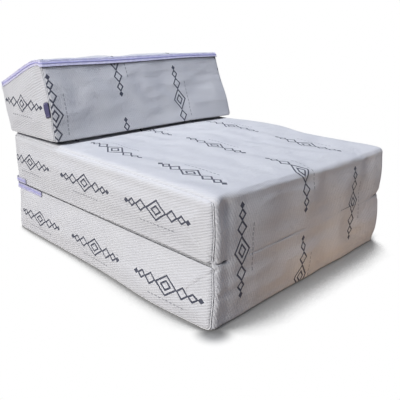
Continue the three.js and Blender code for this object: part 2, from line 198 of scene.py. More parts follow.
def waves(u, v, seed, shortest, longest, count=14):
    """Sum of sine waves with seeded directions, lengths and phases, over the root of half their number."""
    rng = np.random.default_rng(seed)
    angle = rng.uniform(0.0, FULL_TURN, count)
    wave_length = shortest * (longest / shortest) ** rng.random(count)
    phase = rng.uniform(0.0, FULL_TURN, count)
    along = u[..., None] * np.cos(angle) + v[..., None] * np.sin(angle)
    return np.sin(FULL_TURN * along / wave_length + phase).sum(-1) / math.sqrt(count / 2.0)


def unit(vectors):
    """The vectors over their own lengths."""
    return vectors / np.linalg.norm(vectors, axis=-1, keepdims=True)


def run_along(points):
    """How far along a line of points each of them lies."""
    return np.concatenate([[0.0], np.cumsum(np.linalg.norm(np.diff(points, axis=0), axis=-1))])


def outline(form, inset):
    """Side outline, clockwise with Y to the right: edges moved inwards by inset and mitred, each corner an
    arc tangent to both edges, each edge bowed outwards by its swell times a sine to the power 1.5. Radii
    and swells shrink with inset in proportion to the form's depth, so every point moves on a straight
    line."""
    corner = np.array(form["corners"], float)
    ahead = unit(np.roll(corner, -1, 0) - corner)
    normal = np.stack([-ahead[:, 1], ahead[:, 0]], 1)
    before, normal_before = np.roll(ahead, 1, 0), np.roll(normal, 1, 0)
    share = 1.0 - inset / form["depth"]
    turn = np.arccos(np.clip((before * ahead).sum(1), -1.0, 1.0))
    mitred = corner - inset * (normal_before + normal) / (1.0 + (normal_before * normal).sum(1))[:, None]
    radius = np.array(form["radii"]) * share
    reach = radius * np.tan(turn / 2.0)
    centre = mitred - before * reach[:, None] - normal_before * radius[:, None]
    pieces, marks, count = [], [], 0
    t = np.linspace(0.0, 1.0, form["arc"])[:, None]
    for i in range(4):
        j = (i + 1) % 4
        swung = np.sin((1.0 - t) * turn[i]) * normal_before[i] + np.sin(t * turn[i]) * normal[i]
        arc = centre[i] + radius[i] * (swung / math.sin(turn[i]))
        start = arc[-1]
        end = centre[j] + radius[j] * normal_before[j]
        s = np.linspace(0.0, 1.0, form["counts"][i] + 2)[1:-1, None]
        edge = start + (end - start) * s + normal[i] * form["swells"][i] * share * np.sin(math.pi * s) ** 1.5
        marks.append(count + form["arc"] // 2)
        count += form["arc"] + form["counts"][i]
        pieces += [arc, edge]
    return np.concatenate(pieces), marks


def make_form(corners, radii, swells, counts, rounding, arc=9):
    """A cushion's side outline with, for each of its points, the way it moves inwards, its outward normal,
    its length along the outline, and the rounding of the edge between strip and side panel, evened out over
    12 mm."""
    form = {
        "corners": corners,
        "radii": radii,
        "swells": swells,
        "counts": counts,
        "depth": SPINE_DEPTH,
        "arc": arc,
    }
    out, marks = outline(form, 0.0)
    inner, _ = outline(form, SPINE_DEPTH * 0.5)
    tangent = unit(np.roll(out, -1, 0) - np.roll(out, 1, 0))
    step = np.linalg.norm(np.roll(out, -1, 0) - out, axis=1)
    run = run_along(out)
    share = np.linspace(0.0, 1.0, arc)
    edge = []
    for before, here, count in zip(np.roll(rounding, 1), rounding, counts):
        edge += [before + (here - before) * share, np.full(count, here)]
    apart = np.abs(run[:, None] - run[None, :])
    apart = np.minimum(apart, run[-1] + step[-1] - apart)
    weight = hump(apart, 0.012) * step[None, :]
    form.update(
        out=out,
        inward=(inner - out) / (SPINE_DEPTH * 0.5),
        normal=np.stack([-tangent[:, 1], tangent[:, 0]], 1),
        round=(weight @ np.concatenate(edge)) / weight.sum(1),
        marks=marks,
    )
    return form


def rows_between(form, first, last):
    """The outline's points from one corner's middle to another's, going on past the end of the list to its
    start."""
    start, end, count = form["marks"][first], form["marks"][last], len(form["out"])
    return np.arange(start, end + 1 if end > start else end + count + 1) % count


def tuck(r, shares):
    """How far the cloth is drawn in at the seam: a fifth of the rounding, at most 1.6 mm, times the
    shares."""
    return np.minimum(0.0016, 0.2 * r) * shares


def strip_grid(form, rows, columns):
    """A panel that runs along the outline, seam to seam across X. Between the seams the columns are even.
    At each side the panel turns over a quarter circle of the edge's rounding and ends half way round it,
    tucked in at the seam. Gives X, the inset, the outline places and their normals."""
    r = form["round"][rows][:, None]
    turn = np.radians([45.0, 38.0, 29.0, 19.0, 9.0])
    drawn = tuck(r, np.array([1.0, 0.3, 0.0, 0.0, 0.0]))
    flat = np.linspace(-1.0, 1.0, columns)
    edge_x = SEAM_HALF - r * (1.0 - np.sin(turn)) - drawn
    edge_in = r * (1.0 - np.cos(turn)) + drawn
    x = np.concatenate([-edge_x, flat * (SEAM_HALF - r), edge_x[:, ::-1]], 1)
    inset = np.concatenate([edge_in, np.zeros((len(rows), columns)), edge_in[:, ::-1]], 1)
    place = form["out"][rows][:, None, :] + inset[..., None] * form["inward"][rows][:, None, :]
    return x, inset, place, np.broadcast_to(form["normal"][rows][:, None, :], place.shape)


def side_grid(form, side, layers, swell):
    """A side panel: the whole outline, starting at the seam half way round the edge's rounding, turning
    flat, and then shrinking to the form's spine, a middle line or point, where it closes. It bulges by
    swell times a smooth rise."""
    r = form["round"][None, :]
    turn = np.radians([45.0, 52.0, 61.0, 71.0, 81.0, 90.0])[:, None]
    drawn = tuck(r, np.array([1.0, 0.3, 0.0, 0.0, 0.0, 0.0])[:, None])
    t = (np.linspace(0.0, 1.0, layers + 1)[1:] ** 0.8)[:, None]
    inset = np.concatenate([r * (1.0 - np.cos(turn)) + drawn, r + (form["depth"] - r) * t])
    bulged = np.repeat(SEAM_HALF + swell * smooth(t * 1.15), r.shape[1], 1)
    x = np.concatenate([SEAM_HALF - r * (1.0 - np.sin(turn)) - drawn, bulged])
    place = form["out"][None] + inset[..., None] * form["inward"][None]
    front, back = form["spine"]
    share = np.clip((place[-1, :, 0] - front[0]) / max(back[0] - front[0], 1e-6), 0.0, 1.0)[:, None]
    spine = front + (back - front) * share
    tail = np.linspace(0.0, 1.0, form["tail"] + 1)[1:, None, None]
    place = np.concatenate([place, place[-1:] + (spine - place[-1:]) * tail])
    x = np.concatenate([x, np.repeat(x[-1:], form["tail"], 0)])
    inset = np.concatenate([inset, np.repeat(inset[-1:], form["tail"], 0)])
    return side * x, inset, place


# How the soft blocks have settled


def as_built(points):
    """The points as they are, for what has not settled."""
    return points


def stand_out(points):
    """The right front corner stands out, but not at the floor: by 9 mm across, and by 4 mm ahead except at
    the fold, where the two blocks meet when the mattress lies flat. Gives the points so moved."""
    x, y, z = np.moveaxis(points, -1, 0)
    corner = smooth((x - 0.25) / 0.09) * smooth((-y - 0.34) / 0.08) * (1.0 - 0.95 * hump(z, 0.030))
    out = points.copy()
    out[..., 0] += 0.0092 * corner
    out[..., 1] -= 0.0044 * corner * (1.0 - 0.7 * hump(z - FOLD_HEIGHT, 0.010))
    return out


def settle_lower(points):
    """The lower block's sides draw in by 2 mm just under the fold, by a smooth step of height. Its left
    side swells near the floor: by 6 mm, by a bell of 13 mm more ahead of the middle, and along the side at
    its ends. Its right front corner stands out."""
    x, y, z = np.moveaxis(points, -1, 0)
    out = stand_out(points)
    left = smooth((-x - 0.22) / 0.13) * hump(z - 0.018, 0.062)
    behind, ahead = smooth((y - 0.20) / 0.20), smooth((-y - 0.20) / 0.20)
    out[..., 0] -= left * (0.006 + 0.013 * hump(y + 0.235, 0.15))
    out[..., 1] += left * (0.005 * behind - 0.003 * ahead)
    side = smooth((np.abs(x) - 0.30) / 0.045)
    out[..., 0] -= np.sign(x) * 0.0022 * side * smooth((z - 0.118) / 0.026)
    return out


def settle_upper(points):
    """Right of the middle the seat has sunk in front of the backrest, by its dip times smooth steps across
    and along, in proportion to the height above the fold. It swells by 2 mm ahead of the backrest, and the
    backrest's right end presses it down by 5 mm. Its nose droops by 2 mm on the left, 9 mm further right
    and 3 mm at its right end. Its right front corner stands out."""
    x, y, z = np.moveaxis(points, -1, 0)
    out = stand_out(points)
    high = np.clip((z - UPPER_FOOT) / 0.155, 0.0, 1.0)
    dip = bpy.context.scene.mattress_shape.seat_dip * (1.0 - smooth((y + 0.185) / 0.115))
    right = smooth((x + 0.22) / 0.52) * (0.002 * hump(y + 0.02, 0.07) - dip)
    under = smooth((x - 0.10) / 0.22) * smooth((y - 0.05) / 0.10) * (1.0 - smooth((y - 0.32) / 0.08))
    droop = 0.002 + 0.007 * smooth((x + 0.27) / 0.36) - 0.006 * smooth((x - 0.26) / 0.07)
    out[..., 2] += high * (right - 0.005 * under - droop * smooth((-y - 0.372) / 0.055))
    return out


def wedge_local(points):
    """Places in the backrest's own axes: how far behind its top front edge, and how far above its lid
    plane."""
    y, z = points[..., 1] - WEDGE_FRONT_TOP[0], points[..., 2] - WEDGE_FRONT_TOP[1]
    return y * math.cos(RECLINE) - z * math.sin(RECLINE), y * math.sin(RECLINE) + z * math.cos(RECLINE)


def wedge_place(back, above):
    """The other way round: Y and Z of places given in the backrest's own axes."""
    c, k = math.cos(RECLINE), math.sin(RECLINE)
    return WEDGE_FRONT_TOP[0] + back * c + above * k, WEDGE_FRONT_TOP[1] - back * k + above * c


def settle_backrest(points):
    """The backrest lies a little twisted: its top is pushed along the seat in proportion to X, least on the
    left, following the lid's slope, and its foot the other way. Its top edges arch, most a quarter of the
    way back, but not where the slider sits. Its right end has sunk by 3 mm, at the foot by 5 mm, and bulges
    a little there."""
    shape = bpy.context.scene.mattress_shape
    x, _, z = np.moveaxis(points, -1, 0)
    back, above = wedge_local(points)
    foot = 1.0 - smooth((z - WEDGE_FOOT) / 0.16)
    turned = x / SEAM_HALF * (1.0 - 2.0 * foot)
    turned = np.where((x < 0.0) & (turned < 0.0), 0.35 * turned, turned)
    push = shape.backrest_skew * (turned * (1.0 - 0.9 * smooth((back - 0.05) / 0.20)) + 0.25 * foot)
    left, right = smooth((-x - 0.10) / 0.20), smooth((x - 0.15) / 0.20)
    arch = np.sin(math.pi * np.sqrt(np.clip(back / LID_LENGTH, 0.0, 1.0))) ** 1.6
    arch = arch * (1.0 - right * smooth((back - 0.175) / 0.045))
    rise = (shape.lid_bow * arch + 0.0020 * left * hump(back, 0.06)) * smooth((above + 0.115) / 0.105)
    high = np.clip((z - WEDGE_FOOT) / 0.12, 0.0, 1.0)
    ahead = 1.0 - smooth((back - 0.12) / 0.06)
    bulge = right * (0.004 * hump(z - 0.375, 0.045) * hump(back, 0.05) - 0.006 * foot * ahead)
    sunk = right * ahead * (0.003 + 0.002 * foot)
    out = points.copy()
    out[..., 1] += push * math.cos(RECLINE) + rise * math.sin(RECLINE) - bulge
    out[..., 2] += -push * math.sin(RECLINE) * high + rise * math.cos(RECLINE) - sunk
    return out


# Meshes


def grid_quads(rows, columns, closed=False):
    """The quads of a grid of points, by number, row after row. A closed grid joins its last column to its
    first."""
    index = np.arange(rows * columns).reshape(rows, columns)
    if closed:
        index = np.concatenate([index, index[:, :1]], 1)
    return np.stack([index[:-1, :-1], index[:-1, 1:], index[1:, 1:], index[1:, :-1]], -1).reshape(-1, 4)


def facing_away(points, quads, middle):
    """The quads, turned round if need be to face away from the middle."""
    corner = points[quads]
    normal = np.cross(corner[:, 2] - corner[:, 0], corner[:, 3] - corner[:, 1])
    return quads[:, ::-1] if ((corner.mean(1) - middle) * normal).sum() < 0.0 else quads


def new_piece(name, points, quads, uv, merge=0.0, hold=None):
    """An object at the origin with a mesh of quads and its places in metres as UV map, linked to the scene.
    merge joins points nearer than that, and hold is kept at the points."""
    mesh = bpy.data.meshes.new(name)
    mesh.from_pydata(points.tolist(), [], quads.tolist())
    mesh.uv_layers.new(name="cloth").data.foreach_set("uv", uv[quads].astype(np.float32).ravel())
    if hold is not None:
        mesh.attributes.new("hold", "FLOAT", "POINT").data.foreach_set(
            "value", hold.astype(np.float32).ravel()
        )
    if merge > 0.0:
        work = bmesh.new()
        work.from_mesh(mesh)
        bmesh.ops.remove_doubles(work, verts=work.verts, dist=merge)
        bmesh.ops.dissolve_degenerate(work, dist=1e-7, edges=work.edges)
        work.to_mesh(mesh)
        work.free()
    mesh.shade_smooth()
    piece = bpy.data.objects.new(name, mesh)
    bpy.context.scene.collection.objects.link(piece)
    return piece


def surface(name, points, uv, inside, closed=False, merge=0.0, hold=None):
    """A mesh over a grid of points, turned to face away from the point inside."""
    flat = points.reshape(-1, 3)
    quads = facing_away(flat, grid_quads(*points.shape[:2], closed), np.asarray(inside))
    return new_piece(name, flat, quads, uv.reshape(-1, 2), merge, hold)


def joined(name, grids):
    """One mesh of several closed bars, each a grid whose columns go round it. Faces point away from each
    bar."""
    all_points, all_quads, all_uv, base = [], [], [], 0
    for ring in grids:
        rows, columns = ring.shape[:2]
        flat, middle = ring.reshape(-1, 3), ring.mean(1)
        quads = facing_away(flat, grid_quads(rows, columns, True), np.repeat(middle[:-1], columns, 0))
        around = np.linspace(0.0, 0.006, columns)
        uv = np.stack(np.broadcast_arrays(run_along(middle)[:, None], around[None]), -1)
        all_points.append(flat)
        all_quads.append(quads + base)
        all_uv.append(uv.reshape(-1, 2))
        base += rows * columns
    return new_piece(
        name, np.concatenate(all_points), np.concatenate(all_quads), np.concatenate(all_uv), 1e-6
    )


def thicken(piece, thickness, offset=-1.0):
    """Gives a thin piece its wall."""
    wall = piece.modifiers.new("thickness", "SOLIDIFY")
    wall.thickness, wall.offset = thickness, offset


def limited(moves):
    """Moves shortened so that none is longer than the longest: over the root of one plus their squared
    share."""
    return moves / np.sqrt(1.0 + ((moves**2).sum(-1, keepdims=True)) / LONGEST_MOVE**2)


def cloth_moves(piece, hold, slack):
    """How each point of a piece moves when its panel settles as cloth over the foam. Blender's cloth runs
    without gravity: the panel grows by the share slack, so that it looks for room, the foam pushes it
    outwards a little, and springs as strong as each point's hold keep it in place, 1 being fixed."""
    group = piece.vertex_groups.new(name="held")
    level = np.round(np.clip(hold, 0.0, 1.0) * 20.0) / 20.0
    for value in np.unique(level):
        group.add(np.flatnonzero(level == value).tolist(), float(value), "REPLACE")
    cloth = piece.modifiers.new("settling", "CLOTH")
    settings = cloth.settings
    settings.quality = 6
    settings.mass = 0.3
    settings.tension_stiffness = settings.compression_stiffness = 18.0
    settings.shear_stiffness = 6.0
    settings.bending_stiffness = 4.0
    settings.effector_weights.gravity = 0.0
    settings.vertex_group_mass = "held"
    settings.pin_stiffness = 1.0
    settings.shrink_min = -slack
    settings.use_pressure = True
    settings.uniform_pressure_force = FOAM_PUSH
    cloth.collision_settings.use_collision = False
    cloth.point_cache.frame_start, cloth.point_cache.frame_end = 1, SETTLING_FRAMES
    start = np.empty(len(piece.data.vertices) * 3, np.float32)
    piece.data.vertices.foreach_get("co", start)
    for frame_number in range(1, SETTLING_FRAMES + 1):
        bpy.context.scene.frame_set(frame_number)
    end = np.empty_like(start)
    piece.evaluated_get(bpy.context.evaluated_depsgraph_get()).data.vertices.foreach_get("co", end)
    piece.modifiers.remove(cloth)
    bpy.context.scene.frame_set(1)
    return limited((end - start).reshape(-1, 3).astype(float))


def settle_piece(piece):
    """Lets a finished piece settle as cloth, by the hold stored at its points, and drops that record."""
    hold = np.empty(len(piece.data.vertices), np.float32)
    piece.data.attributes["hold"].data.foreach_get("value", hold)
    points = np.empty(len(hold) * 3, np.float32)
    piece.data.vertices.foreach_get("co", points)
    moves = cloth_moves(piece, hold, SIDE_SLACK)
    piece.data.vertices.foreach_set("co", (points + moves.ravel()).astype(np.float32))
    piece.vertex_groups.clear()
    piece.data.update()
    piece.data.attributes.remove(piece.data.attributes["hold"])


def settled_grid(points, hold, inside):
    """A panel's grid after it has settled as cloth. Every third row and column is simulated, and the moves
    are spread over the whole grid by straight lines between them, evened out twice over as many points."""
    picks, weights = [], []
    for count in points.shape[:2]:
        pick = np.unique(np.append(np.arange(0, count, STRIDE), count - 1))
        weight = np.stack([np.interp(np.arange(count), pick, one) for one in np.eye(len(pick))], 1)
        spread = np.abs(np.arange(count)[:, None] - np.arange(count)[None, :])
        even = np.clip(1.0 - spread / STRIDE, 0.0, 1.0)
        weights.append((even / even.sum(1, keepdims=True)) @ weight)
        picks.append(pick)
    coarse = points[np.ix_(*picks)]
    piece = surface("settling_cloth", coarse, coarse[..., :2], inside)
    moves = cloth_moves(piece, hold[np.ix_(*picks)].ravel(), STRIP_SLACK).reshape(coarse.shape)
    mesh = piece.data
    bpy.data.objects.remove(piece)
    bpy.data.meshes.remove(mesh)
    return points + np.einsum("ai,bj,ijk->abk", weights[0], weights[1], moves)


def tube_grid(path, side, out, width, height, sides=8):
    """A bar carried along a path: at each point an ellipse of half width along side and half height along
    out, closed at both ends by rings that shrink to the path."""
    turn = np.linspace(0.0, FULL_TURN, sides, endpoint=False)
    width, height = np.broadcast_to(width, len(path)), np.broadcast_to(height, len(path))
    ring = path[:, None] + side[:, None] * (width[:, None] * np.cos(turn))[..., None]
    ring = ring + out[:, None] * (height[:, None] * np.sin(turn))[..., None]
    first, last = np.repeat(path[:1, None], sides, 1), np.repeat(path[-1:, None], sides, 1)
    return np.concatenate([first, ring, last])


def stitches(path, out, pitch, long, thickness):
    """Short threads along a path: one each pitch, a lens of five rings whose half width and lift follow the
    square root of one less the squared share of its length. Gives one grid per thread, stacked."""
    run = run_along(path)
    centres = np.arange(pitch * 0.5, run[-1], pitch)
    share = np.array([-1.0, -0.7, 0.0, 0.7, 1.0])
    at = centres[:, None] + share * long * 0.5
    line = np.stack([np.interp(at, run, path[:, k]) for k in range(3)], -1)
    lift = unit(np.stack([np.interp(at, run, out[:, k]) for k in range(3)], -1))
    ahead = unit(line[:, -1:] - line[:, :1])
    across = np.cross(np.broadcast_to(ahead, lift.shape), lift)
    fat = thickness * np.sqrt(np.clip(1.0 - share**2, 0.0, 1.0))
    turn = np.linspace(0.0, FULL_TURN, 6, endpoint=False)[:, None]
    round_it = across[:, :, None] * np.cos(turn) + lift[:, :, None] * np.sin(turn)
    return list(line[:, :, None] + round_it * fat[None, :, None, None])


# Materials


class Field:
    """A node's output. Sums, products and so on of it are made as math nodes."""

    def __init__(self, nodes, socket):
        self.nodes, self.socket = nodes, socket

    def __add__(self, other):
        return self.nodes.math("ADD", self, other)

    def __sub__(self, other):
        return self.nodes.math("SUBTRACT", self, other)

    def __rsub__(self, other):
        return self.nodes.math("SUBTRACT", other, self)

    def __mul__(self, other):
        return self.nodes.math("MULTIPLY", self, other)

    def __truediv__(self, other):
        return self.nodes.math("DIVIDE", self, other)

    def __mod__(self, other):
        return self.nodes.math("FLOORED_MODULO", self, other)

    def __abs__(self):
        return self.nodes.math("ABSOLUTE", self)


class Nodes:
    """Adds nodes to a material or a world and links them. A value may be a number, a colour or a node's
    output."""

    def __init__(self, owner):
        owner.use_nodes = True
        self.owner, self.tree = owner, owner.node_tree
        self.tree.nodes.clear()

    def put(self, socket, value):
        value = getattr(value, "socket", value)
        if isinstance(value, bpy.types.NodeSocket):
            self.tree.links.new(value, socket)
        elif value is not None:
            socket.default_value = (*value, 1.0) if socket.type == "RGBA" else value

    def node(self, kind, inputs=(), **settings):
        """A shader node with its settings, and its inputs by name or number."""
        made = self.tree.nodes.new("ShaderNode" + kind)
        for key, value in settings.items():
            setattr(made, key, value)
        for key, value in dict(inputs).items():
            self.put(made.inputs[key], value)
        return made

    def field(self, kind, output=0, inputs=(), **settings):
        return Field(self, self.node(kind, inputs, **settings).outputs[output])

    def math(self, operation, *values):
        return self.field("Math", 0, enumerate(values), operation=operation)

    def wave(self, value, pitch):
        """A sine of value that repeats with the pitch."""
        return self.math("SINE", value * (FULL_TURN / pitch))

    def step(self, value, low, high, from_value=0.0, to_value=1.0):
        """A smooth step of value between low and high."""
        inputs = {"Value": value, "From Min": low, "From Max": high, "To Min": from_value, "To Max": to_value}
        return self.field("MapRange", "Result", inputs, interpolation_type="SMOOTHSTEP")

    def mix(self, share, a, b):
        """Colour a to colour b by share."""
        made = self.node("Mix", {"Factor": share}, data_type="RGBA")
        for name, value in (("A", a), ("B", b)):
            self.put(next(s for s in made.inputs if s.name == name and s.type == "RGBA"), value)
        return Field(self, next(s for s in made.outputs if s.type == "RGBA"))

    def noise(self, vector, scale, detail=3.0, roughness=0.55):
        inputs = {"Vector": vector, "Scale": scale, "Detail": detail, "Roughness": roughness}
        return self.field("TexNoise", "Fac", inputs)

    def combine(self, x, y, z=0.0):
        return self.field("CombineXYZ", 0, {0: x, 1: y, 2: z})

    def split(self, places):
        return [Field(self, output) for output in self.node("SeparateXYZ", {0: places}).outputs]

    def places(self, kind="Object"):
        return self.field("TexCoord", kind)

    def reach(self, places, centre):
        """Distance of places from the centre."""
        return self.field("VectorMath", "Value", {0: places, 1: centre}, operation="DISTANCE")

    def openness(self, distance, samples):
        """1 where nothing stands within the distance, towards 0 in a crease."""
        return self.field("AmbientOcclusion", "AO", {"Distance": distance}, samples=samples)

    def seen(self):
        """1 for the rays of the camera and of glossy and clear surfaces, 0 for those that carry light on."""
        path = self.node("LightPath").outputs
        thrown = self.math("MAXIMUM", path["Is Glossy Ray"], path["Is Transmission Ray"])
        return self.math("MAXIMUM", path["Is Camera Ray"], thrown)

    def bump(self, height, distance, strength=1.0, before=None):
        inputs = {"Height": height, "Distance": distance, "Strength": strength, "Normal": before}
        return self.field("Bump", 0, inputs)

    def shader(self, kind, **inputs):
        """A shader with its inputs by name, written with _ for a space."""
        return self.field(kind, 0, {name.replace("_", " "): value for name, value in inputs.items()})

    def either(self, share, first, second):
        """The first shader, or by share the second."""
        return self.field("MixShader", 0, {0: share, 1: first, 2: second})

    def end(self, shader):
        """Makes the shader the surface of the material or world, and gives that."""
        kind = "OutputWorld" if isinstance(self.owner, bpy.types.World) else "OutputMaterial"
        self.node(kind, {"Surface": shader})
        return self.owner

    def finish(self, colour, roughness, normal, **inputs):
        shader = self.shader(
            "BsdfPrincipled", Base_Color=colour, Roughness=roughness, Normal=normal, **inputs
        )
        return self.end(shader)


def toned(colour, share):
    """A colour made brighter or darker by share, at most 1."""
    return tuple(min(1.0, c * share) for c in colour)


def cloth_places(n):
    """The piece's own UV places in millimetres, across and along."""
    across, along, _ = n.split(n.field("UVMap", uv_map="cloth"))
    return across * 1000.0, along * 1000.0


# lozenges of one motif in millimetres: place either side of its middle, half length, half width
MOTIF_LINES = ((0.0, 33.0, 23.0), (0.0, 15.0, 10.5), (53.0, 16.5, 13.0), (84.5, 12.0, 9.0))
MOTIF_TIP = (105.5, 5.5, 4.4)


def lozenge(far, across, place, half_long, half_wide):
    """Distance from the line of a lozenge: (|far - place| over half_long + |across| over half_wide - 1)
    times the fitting length."""
    fit = half_long * half_wide / math.hypot(half_long, half_wide)
    return (abs(far - place) / half_long + abs(across) / half_wide - 1.0) * fit


def knitted_cover(n, colour, rib_pitch):
    """Pale knitted jersey with diagonal ribs and woven lozenge motifs in a half-drop repeat. Ribs are a
    sine of a slanted place, stitches a finer sine across them; each motif is a chain of lozenge outlines
    with a line of small dashes beside it, pressed in with a raised rim."""
    finish = bpy.context.scene.mattress_finish
    u, v = cloth_places(n)
    plane = n.combine(u, v)
    pitch, repeat = finish.motif_pitch * 1000.0, finish.motif_repeat * 1000.0
    drop = n.math("FLOOR", u / pitch) % 2.0 * (repeat * 0.5)
    across = u % pitch - pitch * 0.5
    along = (v + drop) % repeat - repeat * 0.5
    far = abs(along)
    away = n.math("MAXIMUM", lozenge(far, across, *MOTIF_TIP), 0.0)
    for line in MOTIF_LINES:
        away = n.math("MINIMUM", away, abs(lozenge(far, across, *line)))
    dash = abs((along + 60.0) % 12.0 - 6.0) - 3.6
    dash = n.math("MAXIMUM", n.math("MAXIMUM", dash, abs(across - 35.0) - 1.0), far - 60.0)
    fray = (n.noise(plane, 0.9, 2.0) - 0.5) * 0.9
    stroke = n.step(away + fray, 1.75, 2.55, 1.0, 0.0)
    thin = n.step(dash + fray, 0.0, 0.7, 1.0, 0.0)
    rim = n.step(away, 3.4, 6.4, 1.0, 0.0) - stroke
    # knit: slanted ribs and the stitches across them
    slant = math.radians(22.0)
    wander = n.noise(plane, 0.02, 2.0) * 5.0
    rib = (n.wave(u * math.cos(slant) + v * math.sin(slant) + wander, rib_pitch * 1000.0) + 1.0) * 0.5
    loops = (n.wave(v, 1.5) * n.wave(u, 1.15) + 1.0) * 0.5
    slub = n.noise(n.combine(u * 0.10, v * 0.55), 1.0, 4.0, 0.65)
    # painted shade: creases and tucked seams, where other cloth stands within a centimetre, are painted
    # darker, but not at the floor
    height = n.split(n.places())[2]
    painted_crease_shade = n.step(n.openness(0.012, 8), 0.42, 0.91, 0.95, 0.0) * n.step(height, 0.004, 0.026, 0.25, 1.0)
    # colour: each layer over the one before it, by its share
    slow = tuple(c * k for c, k in zip(colour, (0.965, 0.965, 0.98)))
    base = n.mix(n.step(n.noise(plane, 0.008, 3.0), 0.3, 0.7), slow, colour)
    for share, tint in (
        (n.step(slub, 0.35, 0.7) * 0.10, toned(colour, 1.10)),
        ((1.0 - rib) * 0.25, toned(colour, 0.72)),
        ((1.0 - loops) * 0.05, toned(colour, 0.75)),
        (rim * 0.35, (0.88, 0.88, 0.90)),
        (thin * 0.55, finish.motif),
        (stroke * 0.94, finish.motif),
        # painted shade in creases and tucked seams
        (painted_crease_shade, (0.045, 0.047, 0.070)),
    ):
        base = n.mix(share, base, tint)
    # relief: unevenness, pulled folds, stretched ridges, the knit, the pressed motifs
    pulled = n.noise(n.combine(u * 0.012, v * 0.06), 1.0, 4.0, 0.6)
    stretched = n.noise(n.combine(u * 0.009, v * 0.030), 1.0, 2.0, 0.5)
    ridged = n.math("POWER", n.math("MAXIMUM", 1.0 - abs((stretched - 0.5) * 9.0), 0.0), 2.0)
    normal = None
    for relief, distance, strength in (
        (n.noise(plane, 0.03, 3.0), 0.0030, 0.5),
        (pulled, 0.0020, 0.45),
        (ridged, 0.0014, 0.36),
        (rib * 0.75 + loops * 0.35, 0.00105, 0.95),
        ((stroke + thin * 0.6) * -0.55 + rim * 0.55, 0.0010, 1.0),
    ):
        normal = n.bump(relief, distance, strength, normal)
    return n.finish(base, 0.86, normal, Specular_IOR_Level=0.25, Sheen_Weight=0.12, Sheen_Roughness=0.55)


def woven(n, colour, pitch):
    """Woven tape: a fine sine each way for the threads, with a slow change of tone."""
    u, v = cloth_places(n)
    threads = (n.wave(u, pitch) * n.wave(v, pitch) + 1.0) * 0.5
    tone = n.noise(n.combine(u, v), 0.05, 3.0)
    base = n.mix(n.step(tone, 0.3, 0.7), toned(colour, 0.90), toned(colour, 1.10))
    base = n.mix(threads * 0.18, base, toned(colour, 0.6))
    return n.finish(base, 0.72, n.bump(threads, 0.0003, 0.8), Specular_IOR_Level=0.35, Sheen_Weight=0.15)


def moulded(n, colour, roughness):
    """Moulded or painted finish on object places: a faint mottling of tone, roughness and surface."""
    grain = n.noise(n.places(), 900.0, 3.0)
    tone = n.noise(n.places(), 60.0, 2.0)
    rough = n.step(tone, 0.2, 0.8, roughness * 0.85, roughness * 1.15)
    base = n.mix(tone, toned(colour, 0.88), toned(colour, 1.12))
    return n.finish(base, rough, n.bump(grain, 0.0001, 0.5), Specular_IOR_Level=0.5)


def sewing(n, colour, pitch):
    """Twisted sewing thread: slanted sine grooves along each stitch."""
    u, v = cloth_places(n)
    twist = n.wave(u + v, pitch)
    base = n.mix((twist + 1.0) * 0.12, colour, toned(colour, 0.6))
    return n.finish(base, 0.6, n.bump(twist, 0.0001, 0.6), Sheen_Weight=0.1)


# each finish: how it is made, its colour's setting and tone, and its pitch in millimetres or its roughness
FINISHES = {
    "woven_tape": (woven, "tape", 1.0, 1.1),
    # the tape toned darker: painted shade for the blocks' zips down in the fold
    "shaded_tape": (woven, "tape", 0.72, 1.1),
    "woven_hinge": (woven, "cloth", 0.98, 1.6),
    "woven_tag": (woven, "tag", 1.0, 0.9),
    "moulded_coil": (moulded, "coil", 1.0, 0.42),
    "painted_slider": (moulded, "slider", 1.0, 0.34),
    "cover_sewing": (sewing, "cloth", 1.04, 0.8),
    "tape_sewing": (sewing, "tape", 1.3, 0.8),
}


def material(name):
    """The finish of that name, made the first time it is asked for."""
    if name in bpy.data.materials:
        return bpy.data.materials[name]
    finish = bpy.context.scene.mattress_finish
    n = Nodes(bpy.data.materials.new(name))
    if name == "knitted_cover":
        return knitted_cover(n, tuple(finish.cloth), finish.rib_pitch)
    make, key, tone, number = FINISHES[name]
    return make(n, toned(getattr(finish, key), tone), number)


def dress(piece, finish, body, replaced=()):
    """Gives a piece its finish, its body and the CAD nodes it stands for."""
    piece.data.materials.clear()
    piece.data.materials.append(material(finish))
    if body:
        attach(piece, body)
    if replaced:
        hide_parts(*replaced)


def dress_cover(piece, body, fill, *replaced):
    """Dresses a panel of the cover. fill, the share of foam behind it, is not used."""
    dress(piece, "knitted_cover", body, replaced)


# The cushions' outlines


